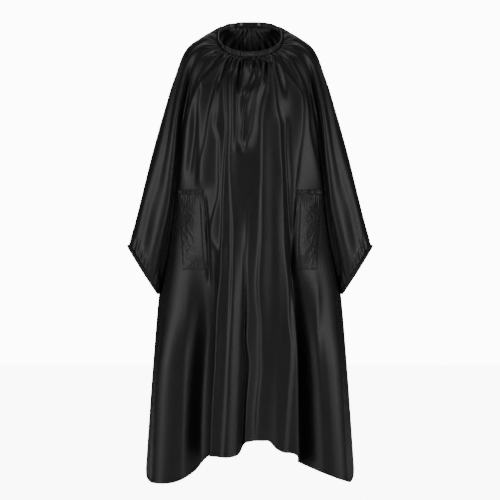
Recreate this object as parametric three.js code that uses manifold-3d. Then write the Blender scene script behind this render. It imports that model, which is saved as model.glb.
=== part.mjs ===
// Barber cape with raglan sleeves: gathered neckband, elastic cuffs, two patch pockets, and a back
// opening that a tab with two press studs closes. It hangs from the wearer's neck.
// Millimetres, +Z up. The front faces -Y and +X is the side on the right as one looks at the front.
// The origin is the centre of the neck ring, where the wearer's neck carries the cape.
import * as THREE from 'three';
import { mergeVertices } from 'three/addons/utils/BufferGeometryUtils.js';
import Module from 'manifold-3d';

// ---- Driving dimensions --------------------------------------------------------------------------
const CLOTH = 2; // thickness of every cloth panel's solid
const SEAM_GAP = 3; // open strip left along each sewn seam
const EDGE_GAP = 0.8; // space between a panel's end and the casing sewn onto it
const BAND_GAP = 2; // the same under the neckband, where the panels slope away

const NECK_HALF_WIDTH = 95;
const NECK_HALF_DEPTH = 75;
const NECK_TILT = 0.7; // rise of the neck ring per millimetre towards the back
const NECK_BACK_SQUARENESS = 3; // superellipse power of the flatter back half, the front has 2
const BAND_HEIGHT = 16;
const SEAM_NECK_X = 82; // where the raglan seams leave the band

const LENGTH = 1330; // from the neck ring's centre to the lowest point of the hem
const CHEST_HALF_WIDTH = 192; // between the raglan seams' deep folds
const CHEST_FRONT = 118;
const CHEST_BACK = 112;
const RAGLAN_DEPTH = 76; // how far in front and behind the raglan seams run
const HEM_HALF_WIDTH = 314;
const HEM_HALF_DEPTH = 160;
const HEM_CORNER_RISE = 17; // the hem at the side seams
const HEM_ARCH = 130; // the hem at the front's middle
const BACK_HEM_LIFT = 24; // the back hem is this much shorter

const SHOULDER_HALF_WIDTH = 186;
const SHOULDER_DROP = 35;
const SHOULDER_RISE = 8; // the cloth stands up beside the neck
const SHOULDER_BACK = 12;
const SLEEVE_HALF_SPAN = 369;
const SLEEVE_DROP = 629; // from the neck ring's centre down to the cuff's upper end
const CUFF_WIDTH = 170; // the cuff laid flat
const CUFF_HALF_DEPTH = 48;
const CUFF_LEAN = 32.2 * Math.PI / 180; // the mouth's line from the vertical
const CUFF_HEIGHT = 10;
const UNDERARM_GAP = 7; // half the space between the two sleeve seams at the underarm

const CASING_WALL = 0.8;
const CASING_HALF = 2.2; // half the thickness of a folded casing
const ELASTIC = 1.4; // thickness of the elastics
const ELASTIC_MARGIN = 2.5; // casing left above and below its elastic

const POCKET_SEAM_GAP = 6.9; // between the pocket and the raglan seam, where they come closest
const POCKET_WIDTH = 74; // across the front, seen square on
const POCKET_TOP = -461;
const POCKET_HEIGHT = 237;
const POCKET_SLANT = 14; // how far the foot of the pocket leans to the middle
const POCKET_BAG = 16; // how far the pocket's middle stands off the front
const POCKET_HEM = 14;

const BACK_OVERLAP = 40; // width that the two back edges share
const BACK_LAYER_GAP = 3; // between the two layers of the overlap

const SNAP_DIAMETER = 10;
const SNAP_SPACING = 54;
const SNAP_PLATE = 0.8; // thickness of each press stud's discs
const SNAP_HEAD = 4.2; // diameter of the stud's head
const SNAP_HEAD_HEIGHT = 1.2;
const SNAP_SHANK = 2.4;
const SNAP_CLEARANCE = 0.4;
const TAB_HEIGHT = 14;
const TAB_THICKNESS = 1.6;
const TAB_END_MARGIN = 18; // tab beyond the outer press stud
const TAB_ROOT_X = -60;
const UNDERLAP_MARGIN = 14; // band beyond the inner press stud

const SEAM_TURN = 66 * Math.PI / 180; // how far the front and back turn round before a raglan seam
const SIDE_BLEND = 220; // height below the underarm over which the side becomes round

const SEAM_ROWS = 10;
const SKIRT_ROWS = 7;
const FRONT_COLUMNS = 26;
const BACK_COLUMNS = 14;
const SLEEVE_COLUMNS = 8; // in each half
const RING_STEPS = 72;

// ---- Materials -----------------------------------------------------------------------------------
const satin = new THREE.MeshStandardMaterial({ color: 0x1b1b1b, roughness: 0.45, metalness: 0 });
const elastic = new THREE.MeshStandardMaterial({ color: 0x262626, roughness: 0.9, metalness: 0 });
const snapMetal = new THREE.MeshStandardMaterial({ color: 0xb4b4b4, roughness: 0.3, metalness: 1 });

// ---- Small helpers -------------------------------------------------------------------------------
const { lerp, smoothstep, clamp } = THREE.MathUtils;
const vec = (x, y, z) => new THREE.Vector3(x, y, z);
const wasm = await Module();
wasm.setup();

// Value at x of a smooth line through knots [x, value] whose x rises.
function profile(knots, x) {
  const inside = clamp(x, knots[0][0], knots[knots.length - 1][0]);
  let k = 0;
  while (k < knots.length - 2 && inside > knots[k + 1][0]) k += 1;
  const slope = (i) => {
    const before = knots[Math.max(i - 1, 0)];
    const after = knots[Math.min(i + 1, knots.length - 1)];
    return (after[1] - before[1]) / (after[0] - before[0]);
  };
  const [x0, y0] = knots[k];
  const [x1, y1] = knots[k + 1];
  const width = x1 - x0;
  const t = (inside - x0) / width;
  const rise = width * slope(k);
  const fall = width * slope(k + 1);
  const cubic = 2 * (y0 - y1) + rise + fall;
  const square = 3 * (y1 - y0) - 2 * rise - fall;
  return ((cubic * t + square) * t + rise) * t + y0;
}

// One closed sheet of even thickness about a grid of points.
function sheet(grid, thickness = CLOTH) {
  const rows = grid.length;
  const columns = grid[0].length;
  const positions = [];
  const faces = [];
  for (const layer of [0.5, -0.5]) {
    for (let i = 0; i < rows; i += 1) {
      for (let j = 0; j < columns; j += 1) {
        const along = grid[Math.min(i + 1, rows - 1)][j].clone().sub(grid[Math.max(i - 1, 0)][j]);
        const across = grid[i][Math.min(j + 1, columns - 1)].clone().sub(grid[i][Math.max(j - 1, 0)]);
        const normal = across.cross(along).normalize();
        positions.push(...grid[i][j].clone().addScaledVector(normal, layer * thickness).toArray());
      }
    }
  }
  const at = (layer, i, j) => layer * rows * columns + i * columns + j;
  const quad = (a, b, c, d) => faces.push(a, b, c, a, c, d);
  for (let i = 0; i < rows - 1; i += 1) {
    for (let j = 0; j < columns - 1; j += 1) {
      quad(at(0, i, j), at(0, i, j + 1), at(0, i + 1, j + 1), at(0, i + 1, j));
      quad(at(1, i, j), at(1, i + 1, j), at(1, i + 1, j + 1), at(1, i, j + 1));
    }
    quad(at(0, i, 0), at(0, i + 1, 0), at(1, i + 1, 0), at(1, i, 0));
    const last = columns - 1;
    quad(at(0, i, last), at(1, i, last), at(1, i + 1, last), at(0, i + 1, last));
  }
  for (let j = 0; j < columns - 1; j += 1) {
    const last = rows - 1;
    quad(at(0, 0, j), at(1, 0, j), at(1, 0, j + 1), at(0, 0, j + 1));
    quad(at(0, last, j), at(0, last, j + 1), at(1, last, j + 1), at(1, last, j));
  }
  return indexed(positions, faces);
}

function indexed(positions, faces) {
  const geometry = new THREE.BufferGeometry();
  geometry.setAttribute('position', new THREE.Float32BufferAttribute(positions, 3));
  geometry.setIndex(faces);
  return geometry;
}

// A section of [lateral, up] corners drawn along points. A loop closes on itself, a strip is capped.
function sweep(points, section, up, loop) {
  const count = points.length;
  const positions = [];
  const faces = [];
  for (let i = 0; i < count; i += 1) {
    const before = loop ? points[(i - 1 + count) % count] : points[Math.max(i - 1, 0)];
    const after = loop ? points[(i + 1) % count] : points[Math.min(i + 1, count - 1)];
    const tangent = after.clone().sub(before).normalize();
    const lateral = tangent.cross(up).normalize();
    for (const [side, height] of section) {
      const corner = points[i].clone().addScaledVector(lateral, side).addScaledVector(up, height);
      positions.push(...corner.toArray());
    }
  }
  const sides = section.length;
  for (let i = 0; i < (loop ? count : count - 1); i += 1) {
    const here = i * sides;
    const next = ((i + 1) % count) * sides;
    for (let k = 0; k < sides; k += 1) {
      const k2 = (k + 1) % sides;
      faces.push(here + k, next + k, next + k2, here + k, next + k2, here + k2);
    }
  }
  if (!loop) {
    const outline = section.map(([a, b]) => new THREE.Vector2(a, b));
    const last = (count - 1) * sides;
    for (const [a, b, c] of THREE.ShapeUtils.triangulateShape(outline, [])) {
      faces.push(a, b, c, last + a, last + c, last + b);
    }
  }
  return outwards(indexed(positions, faces));
}

// Turns a closed surface right side out when its volume comes out negative.
function outwards(geometry) {
  const position = geometry.getAttribute('position');
  const index = geometry.getIndex();
  const [a, b, c] = [vec(), vec(), vec()];
  let volume = 0;
  for (let i = 0; i < index.count; i += 3) {
    a.fromBufferAttribute(position, index.getX(i));
    b.fromBufferAttribute(position, index.getX(i + 1));
    c.fromBufferAttribute(position, index.getX(i + 2));
    volume += a.dot(b.cross(c));
  }
  if (volume < 0) index.array.reverse();
  return geometry;
}

const block = (low, high, half) => [[half, low], [half, high], [-half, high], [-half, low]];

// A folded strip of cloth: a channel that is closed at its far edge and holds an elastic.
function casingSection(height) {
  const inner = CASING_HALF - CASING_WALL;
  return [
    [CASING_HALF, 0], [CASING_HALF, height], [-CASING_HALF, height], [-CASING_HALF, 0],
    [-inner, 0], [-inner, height - CASING_WALL], [inner, height - CASING_WALL], [inner, 0],
  ];
}

const elasticSection = (height) => block(ELASTIC_MARGIN, height - ELASTIC_MARGIN, ELASTIC / 2);

function solid(geometry) {
  const bare = geometry.clone();
  for (const name of Object.keys(bare.attributes)) if (name !== 'position') bare.deleteAttribute(name);
  const merged = mergeVertices(bare);
  return new wasm.Manifold(new wasm.Mesh({
    numProp: 3,
    vertProperties: new Float32Array(merged.getAttribute('position').array),
    triVerts: new Uint32Array(merged.getIndex().array),
  }));
}

function fromSolid(body) {
  const mesh = body.getMesh();
  const geometry = new THREE.BufferGeometry();
  geometry.setAttribute('position', new THREE.BufferAttribute(mesh.vertProperties, 3));
  geometry.setIndex(new THREE.BufferAttribute(mesh.triVerts, 1));
  return geometry;
}

const cape = new THREE.Group();

function add(name, geometry, material) {
  geometry.computeVertexNormals();
  const mesh = new THREE.Mesh(geometry, material);
  mesh.name = name;
  cape.add(mesh);
}

// ---- Neck ring -----------------------------------------------------------------------------------
// The ring is the band's lower edge. Its upper edge goes round the origin.
// Level y of the ring at x: an ellipse in front (facing -1) and a flatter superellipse behind (+1).
function ringY(x, facing) {
  const power = facing < 0 ? 2 : NECK_BACK_SQUARENESS;
  const share = Math.min(Math.abs(x) / NECK_HALF_WIDTH, 1);
  return facing * NECK_HALF_DEPTH * (1 - share ** power) ** (1 / power);
}

const ringAt = (x, facing) => {
  const y = ringY(x, facing);
  return vec(x, y, NECK_TILT * y - BAND_HEIGHT);
};

// The ring from xStart on the back, round by the sides and the front, to xEnd on the back.
function ringPath(xStart, xEnd) {
  const turns = [];
  const angleOf = (x) => Math.asin(Math.abs(x / NECK_HALF_WIDTH) ** (NECK_BACK_SQUARENESS / 2));
  const first = -Math.PI + Math.sign(-xStart) * angleOf(xStart);
  const last = Math.PI + Math.sign(xEnd) * -angleOf(xEnd);
  for (let i = 0; i <= RING_STEPS; i += 1) turns.push(lerp(first, last, i / RING_STEPS));
  return turns.map((turn) => {
    const facing = Math.cos(turn) > 0 ? -1 : 1;
    const power = facing < 0 ? 1 : 2 / NECK_BACK_SQUARENESS;
    const x = NECK_HALF_WIDTH * Math.sign(Math.sin(turn)) * Math.abs(Math.sin(turn)) ** power;
    return ringAt(x, facing);
  });
}

// ---- Seam lines, on the +X side ------------------------------------------------------------------
const mouthLine = vec(-Math.sin(CUFF_LEAN), 0, -Math.cos(CUFF_LEAN));
const mouthOut = vec(Math.cos(CUFF_LEAN), 0, -Math.sin(CUFF_LEAN));
const intoSleeve = mouthOut.clone().negate();
const cuffTip = vec(SLEEVE_HALF_SPAN, 0, -SLEEVE_DROP);
const sleeveEndShift = intoSleeve.clone().multiplyScalar(CUFF_HEIGHT + EDGE_GAP);
const sleeveTip = cuffTip.clone().add(sleeveEndShift);
const underarm = cuffTip.clone().addScaledVector(mouthLine, CUFF_WIDTH).add(sleeveEndShift);

const belowBand = (point) => point.clone().setZ(point.z - BAND_GAP);

// Raglan seam, from the band to the underarm, in front (-1) or behind (+1).
function raglanSeam(facing) {
  const start = belowBand(ringAt(SEAM_NECK_X, facing));
  const drop = underarm.z - start.z;
  const chestToArm = (share) => lerp(CHEST_HALF_WIDTH, underarm.x, share);
  const knots = [
    start,
    vec(0.79 * CHEST_HALF_WIDTH, facing * 0.85 * RAGLAN_DEPTH, start.z + (0.04 - 0.01 * facing) * drop),
    vec(CHEST_HALF_WIDTH, facing * RAGLAN_DEPTH, start.z + 0.24 * drop),
    vec(chestToArm(0.31), facing * 0.87 * RAGLAN_DEPTH, start.z + 0.54 * drop),
    vec(chestToArm(0.6), facing * 0.5 * RAGLAN_DEPTH, start.z + 0.8 * drop),
    vec(underarm.x, facing * UNDERARM_GAP, underarm.z),
  ];
  return new THREE.CatmullRomCurve3(knots, false, 'centripetal').getSpacedPoints(SEAM_ROWS);
}

// The sleeve's top line over the shoulder and the arm, from the band to the cuff's upper end.
function armLine() {
  const start = belowBand(ringAt(NECK_HALF_WIDTH, -1));
  const shoulder = vec(SHOULDER_HALF_WIDTH, 0, -SHOULDER_DROP);
  const down = (x, share) => vec(
    lerp(shoulder.x, sleeveTip.x, x), 0, lerp(shoulder.z, sleeveTip.z, share),
  );
  const knots = [start, vec(lerp(start.x, shoulder.x, 0.5), SHOULDER_BACK, start.z + SHOULDER_RISE),
    shoulder, down(0.22, 0.15), down(0.55, 0.48), down(0.87, 0.85), sleeveTip];
  return new THREE.CatmullRomCurve3(knots, false, 'centripetal').getSpacedPoints(SEAM_ROWS);
}

const frontSeam = raglanSeam(-1);
const backSeam = raglanSeam(1);
const overArm = armLine();

// ---- Body ----------------------------------------------------------------------------------------
// Hem height where the side distance is share of the half width.
function hemZ(share, facing) {
  const lift = facing > 0 ? BACK_HEM_LIFT : 0;
  const side = Math.abs(share);
  const arch = profile([[-0.3, 0.72 * HEM_ARCH], [0, HEM_ARCH], [0.3, 0.72 * HEM_ARCH],
    [0.55, 0.3 * HEM_ARCH], [0.78, 0], [1, HEM_CORNER_RISE]], side);
  return -LENGTH + arch + lift;
}

// Half width of the body and y of its side edge at height z.
function bodyEdge(z, facing) {
  const seam = facing < 0 ? frontSeam : backSeam;
  const end = seam[SEAM_ROWS];
  if (z <= end.z) {
    const share = (end.z - z) / (end.z + LENGTH);
    const gap = lerp(UNDERARM_GAP, SEAM_GAP / 2, smoothstep(share, 0, 0.12));
    return [lerp(end.x, HEM_HALF_WIDTH, share ** 0.85), facing * gap];
  }
  if (z >= seam[0].z) return [seam[0].x, seam[0].y];
  let k = 0;
  while (z < seam[k + 1].z) k += 1;
  const t = (seam[k].z - z) / (seam[k].z - seam[k + 1].z);
  return [lerp(seam[k].x, seam[k + 1].x, t), lerp(seam[k].y, seam[k + 1].y, t)];
}

// How far the middle of the front or the back stands from the neck's centre at height z.
function bodyDepth(z, facing) {
  const chest = facing < 0 ? CHEST_FRONT : CHEST_BACK;
  const knots = [[-LENGTH, HEM_HALF_DEPTH], [-0.6 * LENGTH, lerp(chest, HEM_HALF_DEPTH, 0.45)],
    [-0.25 * LENGTH, chest], [-0.08 * LENGTH, 0.86 * chest], [0.04 * LENGTH, NECK_HALF_DEPTH]];
  return facing * profile(knots, z);
}

// A point of the front or back: swing runs from -1 at the -X side to 1 at the +X side, down from 0
// under the band to 1 at the hem.
function bodyPoint(swing, down, facing) {
  const reach = Math.sin(swing * SEAM_TURN) / Math.sin(SEAM_TURN);
  const neck = belowBand(ringAt(SEAM_NECK_X * reach, facing));
  const shape = (z) => {
    const [halfWidth, edgeY] = bodyEdge(z, facing);
    const round = smoothstep(underarm.z - z, 0, SIDE_BLEND);
    const turn = swing * lerp(SEAM_TURN, Math.PI / 2, round);
    const farthest = lerp(SEAM_TURN, Math.PI / 2, round);
    const share = (Math.cos(turn) - Math.cos(farthest)) / (1 - Math.cos(farthest));
    const x = halfWidth * Math.sin(turn) / Math.sin(farthest);
    return vec(x, lerp(edgeY, bodyDepth(z, facing), share), z);
  };
  const point = shape(lerp(neck.z, hemZ(reach, facing), down));
  const start = shape(neck.z);
  const pull = (1 - down) ** 7;
  point.x += (neck.x - start.x) * pull;
  point.y += (neck.y - start.y) * pull;
  return point;
}

// Rows that end on the raglan seam's own points, then rows down the side seam.
function rowsDown(facing) {
  const seam = facing < 0 ? frontSeam : backSeam;
  const hem = hemZ(1, facing);
  const rows = seam.map((point) => (point.z - seam[0].z) / (hem - seam[0].z));
  const last = rows[SEAM_ROWS];
  for (let i = 1; i <= SKIRT_ROWS; i += 1) rows.push(lerp(last, 1, i / SKIRT_ROWS));
  return rows;
}

// The swing that lies a given distance inside the side edge, or at a given x, at one row.
function insetSwing(down, facing, distance) {
  const edge = bodyPoint(1, down, facing);
  let swing = 1;
  while (swing > 0.5 && bodyPoint(swing, down, facing).distanceTo(edge) < distance) swing -= 0.002;
  return swing;
}

function swingAtX(x, down, facing) {
  let [low, high] = [-1, 1];
  for (let i = 0; i < 30; i += 1) {
    const middle = (low + high) / 2;
    if (bodyPoint(middle, down, facing).x < x) low = middle;
    else high = middle;
  }
  return (low + high) / 2;
}

function frontPanel() {
  return sheet(rowsDown(-1).map((down) => {
    const reach = insetSwing(down, -1, SEAM_GAP);
    const row = [];
    for (let j = 0; j <= FRONT_COLUMNS; j += 1) {
      row.push(bodyPoint(lerp(-reach, reach, j / FRONT_COLUMNS), down, -1));
    }
    return row;
  }));
}

// One half of the back. The -X half reaches past the middle outside the +X half.
function backPanel(side) {
  const step = -side * (BACK_LAYER_GAP + CLOTH) / 2;
  return sheet(rowsDown(1).map((down) => {
    const reach = side * insetSwing(down, 1, SEAM_GAP);
    const middle = swingAtX(-side * BACK_OVERLAP / 2, down, 1);
    const row = [];
    for (let j = 0; j <= BACK_COLUMNS; j += 1) {
      const share = j / BACK_COLUMNS;
      const point = bodyPoint(lerp(reach, middle, share), down, 1);
      point.y += step * smoothstep(share, 0.5, 0.85);
      row.push(point);
    }
    return row;
  }));
}

// ---- Sleeves -------------------------------------------------------------------------------------
// A point of the +X sleeve: round runs from 0 at the front seam over the arm to 1 at the back seam.
function sleeveShape(round, k) {
  const along = k / SEAM_ROWS;
  const [front, over, back] = [frontSeam[k], overArm[k], backSeam[k]];
  const middle = front.clone().lerp(back, 0.5);
  const swell = Math.sin(Math.PI * round) ** (1 + smoothstep(along, 0, 1));
  const point = front.clone().lerp(back, round).addScaledVector(over.clone().sub(middle), swell);
  point.y -= CUFF_HALF_DEPTH * smoothstep(along, 0, 0.6) * Math.sin(2 * Math.PI * round);
  return point;
}

function sleevePoint(round, k) {
  const power = 2 / NECK_BACK_SQUARENESS;
  const frontTurn = Math.asin(SEAM_NECK_X / NECK_HALF_WIDTH);
  const backTurn = Math.asin((SEAM_NECK_X / NECK_HALF_WIDTH) ** (1 / power));
  const turn = lerp(frontTurn, Math.PI - backTurn, round);
  const facing = turn < Math.PI / 2 ? -1 : 1;
  const x = NECK_HALF_WIDTH * Math.sin(turn) ** (facing < 0 ? 1 : power);
  const neck = belowBand(ringAt(x, facing));
  const fix = neck.sub(sleeveShape(round, 0)).multiplyScalar(1 - k / SEAM_ROWS);
  return sleeveShape(round, k).add(fix);
}

// How far round, from an edge, a strip of the seam gap's width reaches at one row.
function sleeveInset(from, towards, k) {
  const edge = sleevePoint(from, k);
  let inset = 0;
  while (inset < 0.2 && sleevePoint(from + towards * inset, k).distanceTo(edge) < SEAM_GAP) inset += 0.001;
  return from + towards * inset;
}

// The front (0 to 0.5 round the arm) or back half (0.5 to 1), sewn together over the arm.
function sleeveHalf(side, start, end) {
  const grid = [];
  for (let k = 0; k <= SEAM_ROWS; k += 1) {
    const low = start === 0 ? sleeveInset(0, 1, k) : start + SEAM_GAP / 2 / sleeveGirth(k);
    const high = end === 1 ? sleeveInset(1, -1, k) : end - SEAM_GAP / 2 / sleeveGirth(k);
    const row = [];
    for (let j = 0; j <= SLEEVE_COLUMNS; j += 1) {
      const point = sleevePoint(lerp(low, high, j / SLEEVE_COLUMNS), k);
      point.x *= side;
      row.push(point);
    }
    grid.push(side > 0 ? row : row.reverse());
  }
  return sheet(grid);
}

// Length of cloth per unit round at the over-arm seam.
function sleeveGirth(k) {
  return sleevePoint(0.49, k).distanceTo(sleevePoint(0.51, k)) / 0.02;
}

// The cuff's ring, at the outer edge of its casing.
function cuffPath(side) {
  const points = [];
  for (let i = 0; i <= 40; i += 1) {
    const point = sleevePoint(i / 40, SEAM_ROWS).sub(sleeveEndShift);
    point.x *= side;
    points.push(point);
  }
  return points;
}

// ---- Pockets -------------------------------------------------------------------------------------
// A point over the front at x and z, lifted off it by a distance.
function overFront(x, z, lift) {
  let [top, bottom] = [0, 1];
  let point = null;
  for (let i = 0; i < 30; i += 1) {
    const down = (top + bottom) / 2;
    point = bodyPoint(swingAtX(x, down, -1), down, -1);
    if (point.z > z) top = down;
    else bottom = down;
  }
  const [halfWidth] = bodyEdge(z, -1);
  const turn = Math.asin(clamp(x / halfWidth, -1, 1));
  const outward = vec(Math.sin(turn) * -bodyDepth(z, -1) / halfWidth, -Math.cos(turn), 0).normalize();
  return point.addScaledVector(outward, lift);
}

const pocketBottom = POCKET_TOP - POCKET_HEIGHT;

// Distance of the front seam from the middle at height z.
function seamX(z) {
  const after = Math.max(frontSeam.findIndex((point) => point.z < z), 1);
  const [upper, lower] = [frontSeam[after - 1], frontSeam[after]];
  return lerp(upper.x, lower.x, (upper.z - z) / (upper.z - lower.z));
}

const pocketOuterX = Math.min(seamX(POCKET_TOP), seamX(pocketBottom) + POCKET_SLANT) - POCKET_SEAM_GAP;

function pocketPoint(side, across, z) {
  const drop = (POCKET_TOP - z) / POCKET_HEIGHT;
  const x = pocketOuterX - (1 - across) * POCKET_WIDTH - drop * POCKET_SLANT;
  const bag = Math.sin(Math.PI * across) ** 0.6 * Math.sin(Math.PI * clamp(1 - drop, 0, 0.5)) ** 0.6;
  const lift = CLOTH + EDGE_GAP + CASING_HALF + POCKET_BAG * bag;
  return overFront(side * x, z, lift);
}

function pocketPanel(side) {
  const top = POCKET_TOP - POCKET_HEM - EDGE_GAP;
  const grid = [];
  for (let i = 0; i <= 10; i += 1) {
    const row = [];
    for (let j = 0; j <= 8; j += 1) row.push(pocketPoint(side, j / 8, lerp(top, pocketBottom, i / 10)));
    grid.push(side > 0 ? row : row.reverse());
  }
  return sheet(grid);
}

function pocketPath(side) {
  const points = [];
  for (let j = 0; j <= 12; j += 1) points.push(pocketPoint(side, j / 12, POCKET_TOP - POCKET_HEM));
  return points;
}

// ---- Closure at the back of the neck -------------------------------------------------------------
const stackHeight = 2 * SNAP_PLATE + SNAP_HEAD_HEIGHT + 2 * SNAP_CLEARANCE;
const tabOffset = CASING_HALF + stackHeight + TAB_THICKNESS / 2;
const tabRootOffset = CASING_HALF + SNAP_CLEARANCE + TAB_THICKNESS / 2;
const tabEndX = SNAP_SPACING / 2 + TAB_END_MARGIN;
const underlapEndX = -SNAP_SPACING / 2 - UNDERLAP_MARGIN;
const bandEndX = TAB_ROOT_X - 1;

// Direction that faces away from the neck at x on the back of the ring.
function backOutward(x) {
  const step = 0.5;
  const slope = (ringY(x + step, 1) - ringY(x - step, 1)) / (2 * step);
  return vec(-slope, 1, 0).normalize();
}

// The mid-height point of the band at x on the back, moved outwards by an offset.
function overBand(x, offset) {
  const point = ringAt(x, 1).addScaledVector(backOutward(x), offset);
  point.z = NECK_TILT * ringY(x, 1) - BAND_HEIGHT / 2;
  return point;
}

const hinge = overBand(TAB_ROOT_X, tabRootOffset);

// The tab: a strip with a round free end that steps out over the underlap's studs.
function tabStrip() {
  const columns = 22;
  const length = tabEndX - TAB_ROOT_X;
  const round = TAB_HEIGHT / 2;
  const grid = [[], [], [], [], []];
  for (let i = 0; i <= columns; i += 1) {
    const share = i / columns;
    const fine = share < 0.7 ? share * 0.85 / 0.7 : 0.85 + (share - 0.7) * 0.5;
    const x = TAB_ROOT_X + fine * length;
    const offset = lerp(tabRootOffset, tabOffset, smoothstep(fine, 0, 0.2));
    const centre = overBand(x, offset);
    const past = Math.max(x - (tabEndX - round), 0);
    const half = Math.max(Math.sqrt(Math.max(round * round - past * past, 0)), 0.25 * round);
    grid.forEach((row, k) => row.push(centre.clone().setZ(centre.z + half * (k - 2) / 2)));
  }
  return sheet(grid, TAB_THICKNESS);
}

// A turned piece on the +Y axis, from [radius, height] corners, moved to a snap's seat.
function turned(corners, x, offset) {
  const outline = corners.map(([radius, height]) => new THREE.Vector2(radius, height));
  const geometry = new THREE.LatheGeometry(outline, 24);
  const direction = backOutward(x);
  const turn = new THREE.Quaternion().setFromUnitVectors(vec(0, 1, 0), direction);
  geometry.applyQuaternion(turn);
  const seat = overBand(x, offset);
  geometry.translate(seat.x, seat.y, seat.z);
  return outwards(mergedPosition(geometry));
}

function mergedPosition(geometry) {
  geometry.deleteAttribute('normal');
  geometry.deleteAttribute('uv');
  return mergeVertices(geometry, 1e-3);
}

const snapRadius = SNAP_DIAMETER / 2;
const shank = SNAP_SHANK / 2;
const head = SNAP_HEAD / 2;

function snapPieces(x, name) {
  const under = -CASING_HALF - SNAP_CLEARANCE / 2;
  const over = tabOffset + TAB_THICKNESS / 2 + SNAP_CLEARANCE / 2;
  const throughBand = 2 * CASING_HALF + SNAP_CLEARANCE;
  const studFace = CASING_HALF + SNAP_CLEARANCE / 2;
  const socketFace = tabOffset - TAB_THICKNESS / 2 - SNAP_CLEARANCE / 2;
  const bore = head + 2 * SNAP_CLEARANCE;
  // Post plate inside the neck, with a shank through the band.
  add(`${name}_post`, turned([[0, -SNAP_PLATE], [0.8 * snapRadius, -SNAP_PLATE], [0.92 * snapRadius, 0],
    [shank, 0], [shank, throughBand - SNAP_CLEARANCE], [0, throughBand - SNAP_CLEARANCE]], x, under),
  snapMetal);
  // Stud on the band's outside, pierced for the shank.
  add(`${name}_stud`, turned([[shank + 0.3, 0], [0.88 * snapRadius, 0], [0.88 * snapRadius, SNAP_PLATE],
    [0.8 * head, SNAP_PLATE], [head, SNAP_PLATE + 0.55 * SNAP_HEAD_HEIGHT],
    [0.8 * head, SNAP_PLATE + SNAP_HEAD_HEIGHT], [shank + 0.3, SNAP_PLATE + SNAP_HEAD_HEIGHT],
    [shank + 0.3, 0]], x, studFace), snapMetal);
  // Socket ring on the tab's inner face.
  const socketDepth = SNAP_HEAD_HEIGHT + SNAP_CLEARANCE / 2;
  add(`${name}_socket`, turned([[bore, -socketDepth], [0.92 * snapRadius, -socketDepth],
    [0.96 * snapRadius, -0.4 * socketDepth], [0.96 * snapRadius, 0], [shank + 0.3, 0],
    [shank + 0.3, -0.35], [bore, -0.35], [bore, -socketDepth]], x, socketFace), snapMetal);
  // Cap on the tab's outer face, with a shank through the tab.
  const reach = TAB_THICKNESS + SNAP_CLEARANCE + 0.3;
  add(`${name}_cap`, turned([[0, -reach], [shank, -reach], [shank, 0], [snapRadius, 0],
    [snapRadius, 0.5 * SNAP_PLATE], [0.75 * snapRadius, 1.5 * SNAP_PLATE], [0, 1.9 * SNAP_PLATE]],
  x, over), snapMetal);
}

// Cuts a round hole for each press stud's shank.
function pierced(geometry, offset) {
  let body = solid(geometry);
  for (const x of [-SNAP_SPACING / 2, SNAP_SPACING / 2]) {
    const drill = new THREE.CylinderGeometry(shank + 0.3, shank + 0.3, 12, 24);
    const turn = new THREE.Quaternion().setFromUnitVectors(vec(0, 1, 0), backOutward(x));
    drill.applyQuaternion(turn);
    const seat = overBand(x, offset);
    drill.translate(seat.x, seat.y, seat.z);
    body = body.subtract(solid(mergedPosition(drill)));
  }
  return fromSolid(body);
}

// ---- Assembly ------------------------------------------------------------------------------------
const UP = vec(0, 0, 1);
const sides = [['left', -1], ['right', 1]];

add('front_panel', frontPanel(), satin);
for (const [name, side] of sides) {
  add(`${name}_back_panel`, backPanel(side), satin);
  add(`${name}_sleeve_front`, sleeveHalf(side, 0, 0.5), satin);
  add(`${name}_sleeve_back`, sleeveHalf(side, 0.5, 1), satin);
  const cuff = cuffPath(side);
  const up = vec(side * intoSleeve.x, 0, intoSleeve.z);
  const out = up.clone().negate();
  const cuffEdge = cuff.map((point) => point.clone().addScaledVector(up, CUFF_HEIGHT));
  add(`${name}_cuff_casing`, sweep(cuffEdge, casingSection(CUFF_HEIGHT), out, true), satin);
  add(`${name}_cuff_elastic`, sweep(cuffEdge, elasticSection(CUFF_HEIGHT), out, true), elastic);
  add(`${name}_pocket`, pocketPanel(side), satin);
  const mouth = pocketPath(side);
  add(`${name}_pocket_casing`, sweep(mouth, casingSection(POCKET_HEM), UP, false), satin);
  const inside = mouth.slice(1, -1);
  add(`${name}_pocket_elastic`, sweep(inside, elasticSection(POCKET_HEM), UP, false), elastic);
}

const band = ringPath(bandEndX, underlapEndX);
add('neck_casing', pierced(sweep(band, casingSection(BAND_HEIGHT), UP, false), 0), satin);
const elasticPath = ringPath(bandEndX - 6, SNAP_SPACING / 2 + UNDERLAP_MARGIN);
add('neck_elastic', sweep(elasticPath, elasticSection(BAND_HEIGHT), UP, false), elastic);
add('closure_tab', pierced(tabStrip(), tabOffset), satin);
snapPieces(-SNAP_SPACING / 2, 'inner_snap');
snapPieces(SNAP_SPACING / 2, 'outer_snap');

export default cape;
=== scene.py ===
"""Looks of a long-sleeved barber cape in black satin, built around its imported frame. Metres, +Z up."""

import math

import bpy
import numpy as np
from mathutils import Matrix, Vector
from mathutils.bvhtree import BVHTree


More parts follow.
